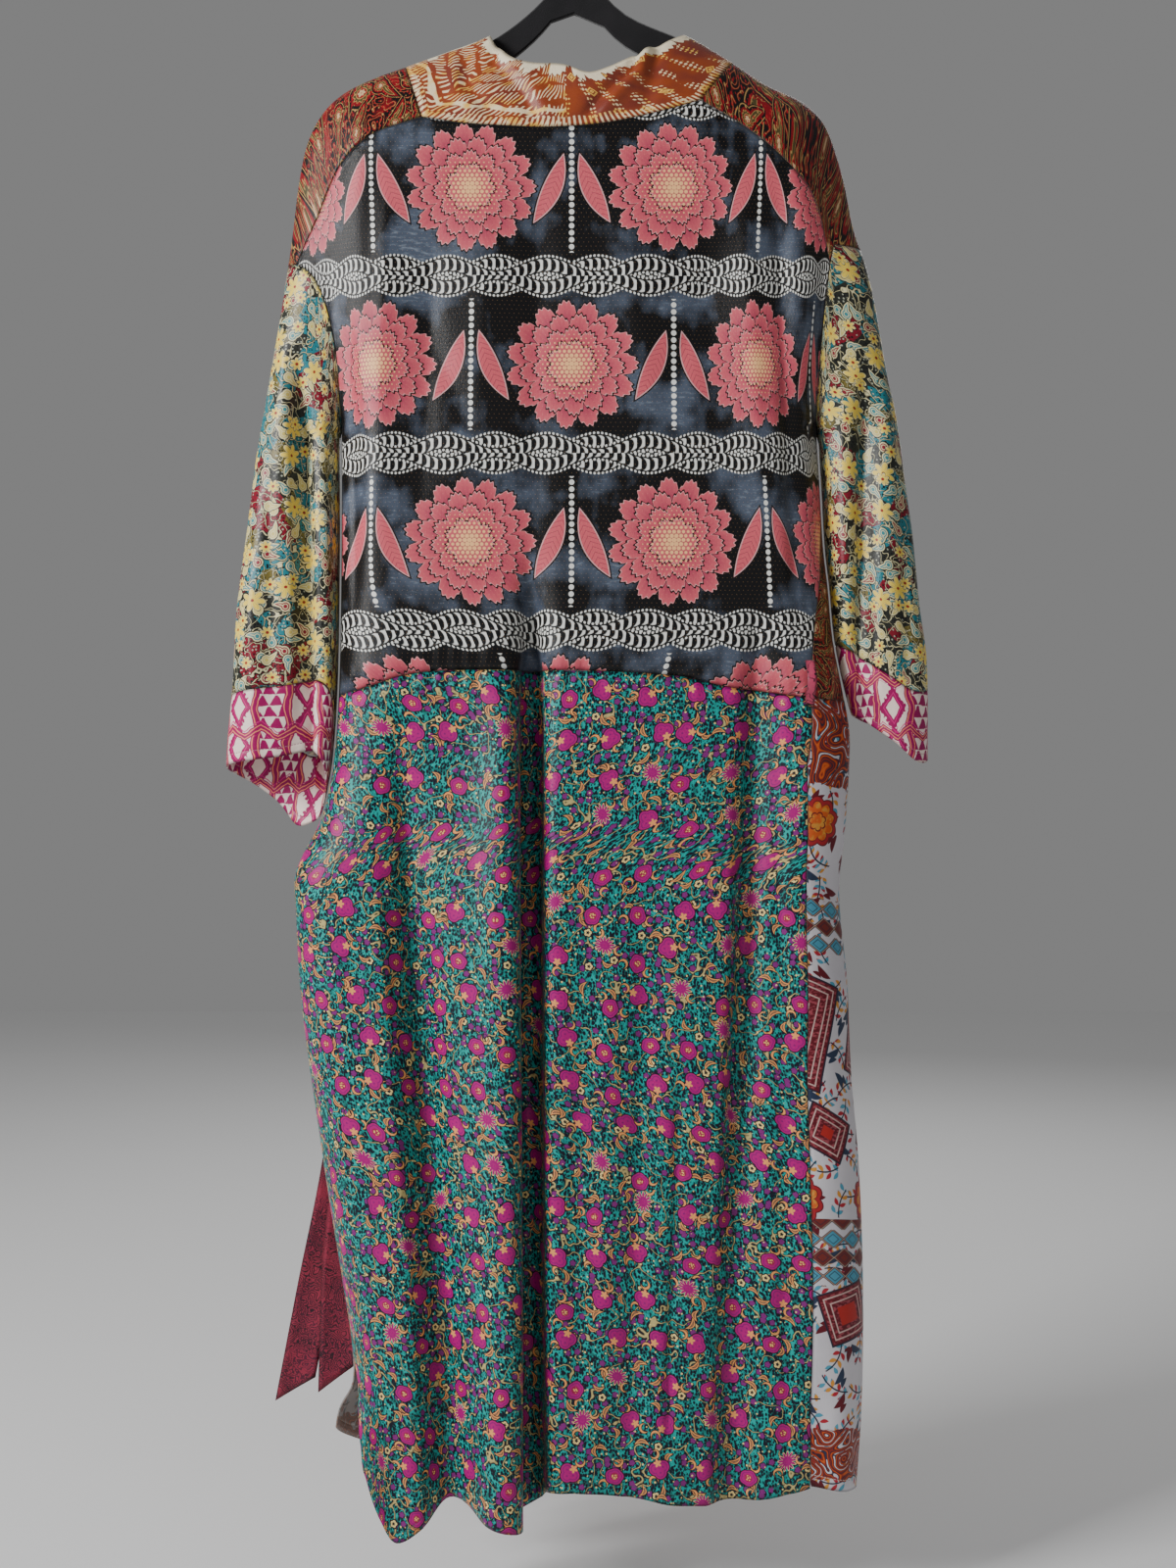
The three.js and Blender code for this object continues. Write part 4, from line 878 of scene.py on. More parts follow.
# ---- Dyes: shader nodes written as sums ----
class Number:
    """One number of a shader, with arithmetic."""

    def __init__(self, dye, socket):
        self.dye, self.socket = dye, socket

    def do(self, operation, *others):
        """A Math node on this number."""
        return self.dye.number(operation, self, *others)

    def __add__(self, other):
        return self.do("ADD", other)

    def __sub__(self, other):
        return self.do("SUBTRACT", other)

    def __rsub__(self, other):
        return self.dye.number("SUBTRACT", other, self)

    def __mul__(self, other):
        return self.do("MULTIPLY", other)

    def __truediv__(self, other):
        return self.do("DIVIDE", other)

    def __rtruediv__(self, other):
        return self.dye.number("DIVIDE", other, self)

    def __pow__(self, other):
        return self.do("POWER", other)

    def __mod__(self, other):
        return self.do("FLOORED_MODULO", other)

    def __neg__(self):
        return self.do("MULTIPLY", -1)

    def __abs__(self):
        return self.do("ABSOLUTE")

    __radd__ = __add__
    __rmul__ = __mul__


FULL_TURN = 6.28
SEAM_SHADE = 1.4  # how far the painted shadow in a seam's ditch reaches from each edge
SEAM_PUCKER = 22
WRONG_TONE = (0.36, 0.31, 0.26)
HEM_THREAD = (0.5, 0.45, 0.4)


class Dye:
    """A cloth's material. Its prints are drawn in millimetres of the cut, u across and v up.

    A motif is drawn from its depth: how far a place lies inside its edge.
    """

    def __init__(self, name, roughness, sheen=0.08, coordinates="cut"):
        self.colour = None
        self.material = bpy.data.materials.new(name)
        self.material.use_nodes = True
        self.tree = self.material.node_tree
        self.surface = self.tree.nodes["Principled BSDF"]
        self.surface.inputs["Roughness"].default_value = roughness
        self.surface.inputs["Specular IOR Level"].default_value = 0.3
        self.surface.inputs["Sheen Weight"].default_value = sheen
        self.surface.inputs["Sheen Roughness"].default_value = 0.4
        if coordinates:
            u, v, _ = self.split(self.node("ShaderNodeUVMap", uv_map=coordinates).outputs["UV"])
        else:
            u, _, v = self.split(self.node("ShaderNodeTexCoord").outputs["Object"])
        self.u, self.v = u / MM, v / MM
        if coordinates:
            edge, below, _ = self.split(self.node("ShaderNodeUVMap", uv_map="sewn").outputs["UV"])
            self.wrong = self.number("LESS_THAN", edge, 0)
            self.edge, self.below = abs(edge / MM), below / MM

    def node(self, kind, inputs=(), **settings):
        """Any node: its settings first, then the values or links of its inputs."""
        made = self.tree.nodes.new(kind)
        for key, value in settings.items():
            setattr(made, key, value)
        for key, value in dict(inputs).items():
            self.plug(made.inputs[key], value)
        return made

    def plug(self, socket, value):
        """Links a socket to an input, or sets the input to a value."""
        value = value.socket if isinstance(value, Number) else value
        if isinstance(value, bpy.types.NodeSocket):
            self.tree.links.new(value, socket)
        elif isinstance(value, tuple) and socket.type == "RGBA":
            socket.default_value = (*value, 1)
        else:
            socket.default_value = value

    def number(self, operation, *values, clamp=False):
        """A Math node."""
        made = self.node("ShaderNodeMath", enumerate(values), operation=operation, use_clamp=clamp)
        return Number(self, made.outputs[0])

    def ramp(self, value, slope, start):
        """A value times a slope plus a start, kept from 0 to 1."""
        return self.number("MULTIPLY_ADD", value, slope, start, clamp=True)

    def split(self, vector):
        """A vector's three numbers."""
        made = self.node("ShaderNodeSeparateXYZ", {0: vector})
        return [Number(self, out) for out in made.outputs]

    def vector(self, x, y):
        """A flat place as a vector."""
        return self.node("ShaderNodeCombineXYZ", enumerate((x, y))).outputs[0]

    def least(self, first, *others):
        """What lies inside all of several motifs."""
        for other in others:
            first = self.number("MINIMUM", first, other)
        return first

    def most(self, first, *others):
        """What lies inside any of several motifs."""
        for other in others:
            first = self.number("MAXIMUM", first, other)
        return first

    def inside(self, depth, soft=0.5):
        """1 where depth, in millimetres inside a motif's edge, is above 0."""
        return self.ramp(depth, 1 / soft, 0.5)

    def both(self, *masks):
        """The product of masks."""
        product = masks[0]
        for mask in masks[1:]:
            product = product * mask
        return product

    def over(self, below, colour, mask):
        """One colour laid over another where the mask is 1."""
        made = self.node("ShaderNodeMix", data_type="RGBA", blend_type="MIX")
        for index, value in ((0, mask), (6, below), (7, colour)):
            self.plug(made.inputs[index], value)
        return made.outputs[2]

    def stain(self, tone, *masks):
        """Lays a tone on the cloth where all the masks are 1."""
        self.colour = self.over(self.colour, tone, self.both(*masks))

    def paint(self, tone, depth, soft=0.5):
        """Lays a tone on the cloth inside one motif."""
        self.stain(tone, self.inside(depth, soft))

    def noise(self, size, seed=0.0, detail=2.0, squash=1.0):
        """Smooth noise from 0 to 1 with patches of a size, each squash times as long as wide."""
        place = self.vector(self.u / size + seed * 5.3, self.v / (size * squash) - seed * 3.7)
        made = self.node("ShaderNodeTexNoise", {"Vector": place, "Scale": 1.0, "Detail": detail},
                         noise_dimensions="2D")
        return Number(self, made.outputs[0])

    def scatter(self, spacing, wander, seed):
        """Offsets from the nearest spot of a loose lattice, and that spot's three random numbers."""
        u = self.u / spacing + seed * 7.31
        v = self.v / spacing - seed * 4.17
        made = self.node("ShaderNodeTexVoronoi",
                         {"Vector": self.vector(u, v), "Scale": 1.0, "Randomness": wander},
                         voronoi_dimensions="2D", feature="F1")
        x, y, _ = self.split(made.outputs["Position"])
        return (u - x) * spacing, (v - y) * spacing, self.split(made.outputs["Color"])

    def strewn(self, spacing, wander, seed, wide=None, high=None):
        """As scatter, with the lattice's motifs each turned at random."""
        x, y, random = self.scatter(spacing, wander, seed)
        x, y = x * wide if wide else x, y * high if high else y
        x, y = self.turn(x, y, random[0] * FULL_TURN)
        return x, y, random

    def above(self, value, least):
        """1 where a value is above the least."""
        return self.number("GREATER_THAN", value, least)

    def brick(self, wide, high, u=None, v=None, shift=0.5):
        """Offsets from the centre of the nearest cell of a brick lattice."""
        u, v = self.u if u is None else u, self.v if v is None else v
        row = self.number("FLOOR", v / high)
        return (u + row * (wide * shift)) % wide - wide / 2, v % high - high / 2

    def turn(self, x, y, angle):
        """Offsets turned by an angle."""
        c, s = self.number("COSINE", angle), self.number("SINE", angle)
        return x * c + y * s, y * c - x * s

    def far(self, x, y):
        """Distance from a motif's centre."""
        return self.number("SQRT", x * x + y * y)

    def angle(self, x, y):
        """Angle round a motif's centre."""
        return self.number("ARCTAN2", y, x)

    def disc(self, x, y, radius):
        """Depth inside a disc."""
        return radius - self.far(x, y)

    def petals(self, x, y, radius, count, notch=0.3, power=0.6):
        """Depth inside a flower whose edge is notched between its petals."""
        lobe = abs(self.number("COSINE", self.angle(x, y) * (count / 2))) ** power
        return radius * ((1 - notch) + lobe * notch) - self.far(x, y)

    def leaf(self, x, y, length, width, bend=0.0):
        """Depth inside a leaf along y, pointed at both ends and bent sideways."""
        t = y / (length / 2)
        return (1 - t * t) * (width / 2) - abs(x + t * t * bend)

    def crescent(self, x, y, radius, offset, inner):
        """Depth inside a disc but outside another one set off to its side."""
        return self.least(self.disc(x, y, radius), -self.disc(x - offset, y, inner))

    def line(self, value, half):
        """Depth inside a line drawn where value is 0."""
        return half - abs(value)

    def sew(self, height, faced, hem, thread):
        """Adds painted shadow along seams and edges, puckers, a hem's fold and stitches, and an unfaced
        cloth's wrong side.
        """
        edge, below = self.edge, self.below
        # painted shade: the colour darkens close to every edge, where a seam's ditch would lie in shadow
        self.stain((0.0, 0.0, 0.0), self.inside(SEAM_SHADE - edge, 2.2) * 0.5)
        near = self.ramp(edge, -1 / SEAM_PUCKER, 1.0)
        height = height + self.noise(8, 41, 2) * near * near * 1.6
        height = height + self.ramp(edge, 0.25, 0.0) * 0.5
        if hem is not None:
            height = height - self.inside(self.line(below - hem, 1.0), 1.6) * 0.8
            stitch = self.least(self.line(below - hem, 0.32), self.line(self.u % 2.8 - 1.4, 0.95))
            self.paint(thread, stitch, 0.3)
        if not faced:
            self.stain(WRONG_TONE, self.wrong * 0.55)
        return height

    def finish(self, height, strength, distance, faced=False, hem=None, thread=HEM_THREAD):
        """A sewn silk: its seams, its slubs across and along, and its ripple."""
        height = self.sew(height, faced, hem, thread)
        height = height + self.noise(0.9, 43, 1, squash=9.0) * 0.22
        height = height + self.noise(0.9, 44, 1, squash=0.11) * 0.14
        return self.coat(height, strength, distance)

    def coat(self, height, strength, distance):
        """Gives the surface its colour and its bumps."""
        made = self.node("ShaderNodeBump", {"Strength": strength, "Distance": distance, "Height": height})
        self.plug(self.surface.inputs["Normal"], made.outputs[0])
        self.plug(self.surface.inputs["Base Color"], self.colour)
        return self.material


def silk_ripple(dye, size=26, seed=0.0):
    """Fine creasing of thin silk, longer down the cloth than across it."""
    return dye.noise(size, seed, 3.0, squash=2.2)


def teal_print():
    """Magenta flowers, peach leaves and fine tendrils on a busy teal ground."""
    dye = Dye("teal_flowers", roughness=0.38)
    navy, teal, peach = (0.002, 0.003, 0.014), (0.001, 0.37, 0.33), (0.88, 0.36, 0.11)
    cream, magenta, plum = (0.88, 0.66, 0.26), (0.42, 0.0, 0.17), (0.13, 0.003, 0.13)
    light = dye.noise(7, 1, 2)
    dye.colour = dye.over((0.002, 0.14, 0.125), teal, dye.ramp(light, 4.0, -1.2))
    for spacing, radius, seed in ((2.6, 0.72, 2), (4.4, 0.85, 3)):
        x, y, random = dye.scatter(spacing, 1.0, seed)
        dye.paint(navy, dye.disc(x, y * 0.7, radius * (random[0] * 1.5 + 0.35)), 0.5)
    tendril = dye.noise(24, 4, 1.5) - 0.5
    dye.paint(navy, dye.line(tendril * 60, 1.2))
    dye.paint((0.52, 0.42, 0.17), dye.line(tendril * 60, 0.5))
    x, y, random = dye.scatter(7.5, 0.8, 5)
    keep = dye.above(random[0], 0.66)
    small = dye.petals(x, y, 2.7, 5, 0.35)
    dye.stain(navy, keep, dye.inside(small + 0.7))
    dye.stain((0.20, 0.015, 0.17), keep, dye.inside(small))
    x, y, random = dye.scatter(4.6, 0.9, 6)
    keep = dye.above(random[1], 0.7)
    dye.stain(cream, keep, dye.inside(dye.disc(x, y, random[2] * 0.6 + 0.3)))
    x, y, random = dye.scatter(23, 0.5, 7)
    keep = dye.above(random[0], 0.7)
    ring = dye.petals(x, y, 3.6, 5, 0.3)
    dye.stain(navy, keep, dye.inside(ring + 0.8))
    dye.stain(cream, keep, dye.inside(dye.line(ring - 1.1, 0.8)))
    for spacing, seed, length in ((36, 8, 13), (33, 9, 10)):
        x, y, random = dye.strewn(spacing, 0.75, seed)
        shape = dye.leaf(x, y, length, 3.4, 3.6)
        dye.paint(navy, shape + 0.75)
        dye.paint(peach, shape)
        dye.paint((0.06, 0.05, 0.05), dye.line(shape - 1.25, 0.34))
    x, y, random = dye.strewn(37, 0.55, 10, 1.18, 1.18)
    for far, phase in ((15, 0.0), (13.5, 2.4)):
        side_x, side_y = dye.turn(x - far * math.cos(phase), y - far * math.sin(phase), 0.8 + phase)
        curl = dye.crescent(side_x, side_y, 4.8, 1.5, 4.1)
        dye.paint(navy, curl + 0.7)
        dye.paint(peach, curl)
    kind = random[1]
    open_ = dye.petals(x * 1.16, y, 9.6, 5, 0.1, 1.0)
    half_ = dye.most(dye.disc(x - 0.5, abs(y) - 4.2, 6.4), dye.disc(x + 4.2, y, 6.4),
                     dye.disc(x - 3.2, y, 5.2))
    daisy = dye.petals(x, y * 1.2, 10.4, 13, 0.5, 1.3)
    is_half = dye.above(kind, 0.42)
    is_daisy = dye.above(kind, 0.86)
    shape = open_ + (half_ - open_) * is_half
    shape = shape + (daisy - shape) * is_daisy
    dye.paint(navy, shape + 1.1)
    dye.stain(cream, is_daisy, dye.inside(shape + 1.1))
    dye.paint(magenta, shape)
    shade = dye.inside(dye.line((shape % 4.0) - 2.0, 0.35), 1.2)
    dye.stain(plum, dye.inside(shape - 1.6), shade)
    core = dye.disc(x, y, 2.9)
    dye.stain((0.33, 0.004, 0.07), 1 - is_half, dye.inside(core + 1))
    dot_x, dot_y, _ = dye.scatter(1.9, 0.6, 11)
    dots = dye.inside(dye.disc(dot_x, dot_y, 0.62))
    dye.stain((0.95, 0.62, 0.16), dots, dye.inside(core), 1 - is_half)
    base = dye.petals(x - 5.6, y, 4.2, 5, 0.6, 1.0)
    dye.stain(peach, is_half, 1 - is_daisy, dye.inside(base))
    # two creases pressed across the cloth where it was folded away
    fold = abs(dye.v + 1095 + dye.number("SINE", dye.u * 0.02) * 3)
    other = abs(dye.v + 1178 + dye.number("SINE", dye.u * 0.016 + 2) * 4)
    pressed = dye.inside(2.5 - fold, 5.0) * 0.5 + dye.inside(2.0 - other, 5.0) * 0.35
    return dye.finish(silk_ripple(dye) - pressed, 0.3, 0.002, hem=9, thread=(0.03, 0.10, 0.09))


def dark_print():
    """Pink chrysanthemum rounds, beaded garlands and leaf pairs on a watery black ground."""
    dye = Dye("dark_rounds", roughness=0.34)
    black, slate, pink, peach, white = ((0.001, 0.001, 0.002), (0.07, 0.09, 0.13), (0.66, 0.11, 0.14),
                                        (1.0, 0.56, 0.24), (0.80, 0.80, 0.76))
    wash = dye.noise(70, 1, 3, squash=0.8) + dye.noise(12, 2, 3, squash=3.0) * 0.22
    dye.colour = dye.over(black, slate, dye.ramp(wash, 5.5, -3.2))
    streak = dye.noise(9, 3, 3, squash=0.25)
    dye.stain((0.20, 0.24, 0.30), dye.ramp(streak * wash, 4.0, -1.75))
    wide, high = 176, 152
    x, y = dye.brick(wide, high, v=dye.v + 40)
    # garlands of scales, swinging between the rows of rounds
    for shift in (0.0, math.pi):
        wave = dye.number("SINE", x * (4 * math.pi / wide) + shift) * 12
        level = abs(y) - high / 2
        along, off = x % 7.0 - 3.5, level + wave * 0.5 + 4
        scale = dye.least(dye.disc(along, off, 5.2), -dye.disc(along + 3.2, off * 0.8, 4.4))
        dye.paint(black, dye.line(off, 8))
        dye.paint(white, scale, 0.8)
        bead = dye.disc(x % 3.5 - 1.75, abs(off) - 7.4, 1.05)
        dye.paint(white, bead)
    # leaf pairs between the rounds
    side_x = abs(x) - wide / 2
    leaf_x, leaf_y = dye.turn(side_x + 17, y + 2, -0.42)
    blade = dye.leaf(leaf_x, leaf_y, 62, 15, 3.0)
    vein = abs(leaf_x) * 0.9 + leaf_y
    dye.paint(black, blade + 2.2)
    dye.paint((0.75, 0.42, 0.42), blade + 0.9)
    dye.paint(pink, blade)
    dye.stain((0.30, 0.05, 0.08), dye.inside(blade), dye.inside(dye.line(vein % 5.0 - 2.5, 0.3)))
    beads = dye.disc(side_x, y % 6.0 - 3.0, 2.3)
    dye.stain(white, dye.inside(beads), dye.inside(dye.line(y, 56)))
    # the rounds, ring on ring of toothed petals
    r = dye.far(x, y * 1.04)
    a = dye.angle(x, y)
    for outer, count, phase in ((56, 15, 0.0), (44, 13, 0.4), (32, 11, 0.9), (20, 9, 0.2)):
        tooth = abs(dye.number("COSINE", a * (count / 2) + phase)) ** 0.7
        fringe = dye.number("SINE", a * (count * 5)) * 1.1
        ring = outer * 0.78 + tooth * (outer * 0.22) + fringe - r
        dye.paint(black, ring + 2.6)
        dye.paint((0.80, 0.38, 0.38), ring + 0.8)
        inward = dye.ramp(ring, 0.07, -0.05)
        dye.paint(dye.over(pink, (0.42, 0.055, 0.10), inward), ring)
    dot_x, dot_y = dye.brick(4.2, 3.6)
    glow = 1 - dye.ramp(r, 1 / 34, 0.0)
    dye.paint(peach, glow * 2.3 - dye.far(dot_x, dot_y), 0.7)
    return dye.finish(silk_ripple(dye, 30, 3), 0.3, 0.002)


def gold_print():
    """Cream and yellow brocade flowers, white outlined vines and paisleys on patches of many grounds."""
    dye = Dye("gold_brocade", roughness=0.36)
    white, cream, dark = (0.72, 0.66, 0.38), (0.90, 0.66, 0.10), (0.003, 0.003, 0.004)
    x, y, random = dye.scatter(17, 1.0, 1)
    kind = random[0]
    dye.colour = dye.over((0.022, 0.024, 0.018), (0.015, 0.19, 0.23), dye.above(kind, 0.4))
    dye.stain((0.21, 0.004, 0.018), dye.above(kind, 0.66))
    dye.stain((0.17, 0.135, 0.03), dye.above(kind, 0.86))
    x, y, random = dye.scatter(2.9, 0.9, 2)
    dye.paint(dark, dye.disc(x, y, random[0] * 1.1))
    dye.stain((0.42, 0.44, 0.34), dye.above(random[1], 0.75), dye.inside(dye.disc(x, y, 0.8)))
    for size, seed in ((21, 3), (14, 4)):
        vine = (dye.noise(size, seed, 1.0) - 0.5) * size * 3.2
        dye.paint(dark, dye.line(vine, 1.3))
        dye.paint(white, dye.line(vine, 0.5))
    for spacing, seed in ((25, 5), (22, 6)):
        x, y, random = dye.strewn(spacing, 0.7, seed)
        drop = dye.most(dye.disc(x, y + 2.0, 4.4), dye.leaf(x, y - 1.2, 17, 5.0, 2.6))
        dye.paint(dark, drop + 1.0)
        dye.paint(white, drop + 0.2)
        fill = dye.over((0.05, 0.24, 0.27), (0.62, 0.50, 0.14), dye.above(random[1], 0.5))
        fill = dye.over(fill, (0.24, 0.01, 0.03), dye.above(random[1], 0.75))
        dye.paint(fill, drop - 0.9)
        dye.paint(white, dye.line(drop - 2.3, 0.35))
    for spacing, radius, seed in ((40, 11.5, 7), (27, 6.2, 8)):
        x, y, random = dye.strewn(spacing, 0.7, seed, high=1.15)
        keep = dye.above(random[2], 0.25)
        flower = dye.petals(x, y, radius, 7, 0.6, 0.9)
        dye.stain(dark, keep, dye.inside(flower + 1.1))
        dye.stain(white, keep, dye.inside(flower + 0.4))
        dye.stain(cream, keep, dye.inside(flower - 0.5))
        vein = dye.line(dye.number("COSINE", dye.angle(x, y) * 7), 0.22) - 0.1
        dye.stain((0.40, 0.26, 0.04), keep, dye.inside(flower - 1), dye.inside(vein, 0.3))
        dye.stain((0.30, 0.02, 0.02), keep, dye.inside(dye.disc(x, y, 1.5)))
    shine = dye.noise(2.2, 9, 1.0)
    return dye.finish(shine * 0.4 + silk_ripple(dye, 24, 6) * 3.0, 0.25, 0.001)


def paisley_print():
    """Large paisleys banded in red, black, gold and olive."""
    dye = Dye("red_paisley", roughness=0.4)
    red, black = (0.21, 0.001, 0.006), (0.004, 0.002, 0.002)
    gold, olive = (0.46, 0.27, 0.09), (0.07, 0.055, 0.016)
    grain = dye.noise(3.4, 1, 2)
    dye.colour = dye.over(black, red, dye.ramp(dye.noise(30, 2, 1), 9, -4.6))
    swirl = (dye.noise(17, 3, 1) - 0.5) * 60
    band = swirl % 8.0
    dye.paint(red, dye.line(band - 4, 1.5))
    dye.paint(gold, dye.line(band - 4, 0.3))
    for spacing, seed, size in ((52, 4, 1.0), (33, 5, 0.6)):
        x, y, random = dye.strewn(spacing, 0.7, seed)
        x, y = x / size, y / size
        drop = dye.most(dye.disc(x - 2, y + 8, 14), dye.leaf(x + 2, y - 6, 56, 17, 10))
        dye.paint(black, drop + 3.2)
        dye.paint(gold, dye.line(drop + 1.3, 0.45))
        dye.paint(red, drop - 1.8)
        scallop = drop - 4.6 + dye.number("SINE", dye.angle(x - 2, y + 8) * 12) * 0.9
        dye.paint(gold, scallop)
        dye.paint(olive, scallop - 0.8)
        dye.paint(red, drop - 8.2)
        dye.paint(gold, dye.line(drop - 8.2, 0.4))
        dye.paint((0.6, 0.42, 0.22), dye.petals(x - 2, y + 8, 4.4, 6, 0.5))
    x, y, random = dye.scatter(4.2, 0.7, 6)
    dots = dye.inside(dye.disc(x, y, random[0] * 0.9 + 0.2))
    fleck = dye.over(gold, (0.42, 0.01, 0.015), dye.above(random[1], 0.25))
    dye.stain(fleck, dots)
    dye.stain(gold, dye.ramp(grain, 6, -4.5))
    return dye.finish(silk_ripple(dye, 22, 8), 0.25, 0.002)


def magenta_print():
    """Hand-drawn triangles, diamonds, scalloped bars and zigzags in magenta on cream."""
    dye = Dye("magenta_blocks", roughness=0.42)
    cream, magenta = (0.90, 0.72, 0.64), (0.33, 0.0, 0.10)
    rose, peach = (0.62, 0.02, 0.20), (0.90, 0.28, 0.15)
    u = dye.u + (dye.noise(16, 1, 2) - 0.5) * 5
    v = dye.v + (dye.noise(16, 2, 2) - 0.5) * 5
    step = dye.number("FLOOR", u / 64)
    local = u % 64
    dye.colour = dye.over(cream, (0.90, 0.76, 0.70), dye.noise(9, 3, 2))
    # a field of small triangles
    x, y = dye.brick(11, 9.5, u, v)
    triangle = dye.least(5.6 - abs(x) - (y + 4.4) * 0.52, 4.2 - y, y + 4.4)
    field = dye.inside(dye.line(local - 11, 11.5))
    dye.stain(magenta, field, dye.inside(triangle))
    # tall scalloped diamonds with a light core
    x, y = local - 43, (v + step * 17) % 34 - 17
    lace = dye.number("SINE", (x + y) * 1.1) * 0.9 + dye.number("SINE", (x - y) * 1.1) * 0.9
    diamond = 15.5 - abs(x) * 1.1 - abs(y) * 0.75
    other = dye.inside(dye.line(local - 43, 18.5))
    dye.stain(magenta, other, dye.inside(diamond + lace))
    dye.stain(rose, other, dye.inside(dye.line(diamond - 5.2, 0.6)))
    dye.stain(cream, other, dye.inside(diamond - 7.6))
    for at in (24.5, 61):
        bar = dye.line(local - at + dye.number("SINE", v * 0.2) * 1.6, 4.2)
        dye.paint(magenta, bar)
        dye.paint(peach, dye.line(bar - 1.8, 0.5))
    # a zigzag and its stripes along the seam
    zig = v + abs(u % 30 - 15) * 0.6
    stripe = dye.line(zig % 46 - 5, 3.6)
    dye.paint(magenta, stripe)
    dye.paint(peach, dye.line(stripe - 1.9, 0.5))
    dye.paint(rose, dye.line(stripe + 1.6, 0.5))
    return dye.finish(silk_ripple(dye, 18, 10), 0.25, 0.002, faced=True, hem=8, thread=(0.45, 0.2, 0.25))


def rust_print():
    """Rust batik with cream drips from its free edge, dashes, dots and a jagged band."""
    dye = Dye("rust_batik", roughness=0.4)
    rust, cream, yellow = (0.30, 0.055, 0.015), (0.90, 0.72, 0.44), (0.85, 0.50, 0.10)
    across, along = dye.u, dye.v
    shade = dye.noise(30, 1, 2)
    dye.colour = dye.over(rust, (0.20, 0.035, 0.02), dye.ramp(shade, 4, -1.6))
    tint = dye.over(cream, yellow, dye.ramp(dye.noise(13, 2, 1), 7, -3.4))
    zone = dye.above(dye.number("SINE", (along + 296) * 0.0175), 0)
    # combed strokes across the band, in short rows
    bent = along + across * 0.3 + (dye.noise(26, 3, 1) - 0.5) * 18
    combs = dye.inside(dye.line(bent % 4.0 - 2.0, 0.7))
    cut = dye.inside(dye.line((across + dye.noise(11, 4, 1) * 14) % 14 - 7, 4.9), 1.0)
    dye.stain(tint, combs, cut, zone)
    border = dye.line(across - 15 + (dye.noise(30, 9, 1) - 0.5) * 22, 1.9)
    dye.stain(tint, zone, dye.inside(border))
    # chains of dots across the band, with a lozenge here and there
    x = (along + (dye.noise(20, 5, 1) - 0.5) * 7) % 19 - 9.5
    y = across % 4.2 - 2.1
    chain = dye.most(dye.disc(x, y, 1.25), dye.disc(abs(x) - 2.9, y, 0.8))
    row = dye.above(dye.noise(17, 12, 1), 0.44)
    dye.stain(tint, 1 - zone, row, dye.inside(chain))
    x, y, _ = dye.scatter(36, 0.8, 6)
    lozenge = 5.0 - abs(x) - abs(y) * 0.8
    dye.stain(yellow, 1 - zone, dye.inside(dye.line(lozenge % 2.6 - 1.3, 0.7)), dye.inside(lozenge))
    # teeth along the sewn edge, and a jagged pale band along the free one
    teeth = dye.line(along % 3.4 - 1.7, 0.7)
    dye.stain(tint, dye.inside(teeth), dye.inside(6 - across + dye.noise(9, 8, 1) * 5))
    jag = abs(along % 6.0 - 3) * 1.3 + (dye.noise(22, 7, 1) - 0.5) * 26
    free = 9.5 - dye.edge - jag
    outer = dye.inside(across - 20)
    dye.stain((0.09, 0.03, 0.02), outer, dye.inside(free + 0.8))
    dye.stain((0.90, 0.78, 0.56), outer, dye.inside(free))
    return dye.finish(silk_ripple(dye, 24, 12), 0.2, 0.002, faced=True)


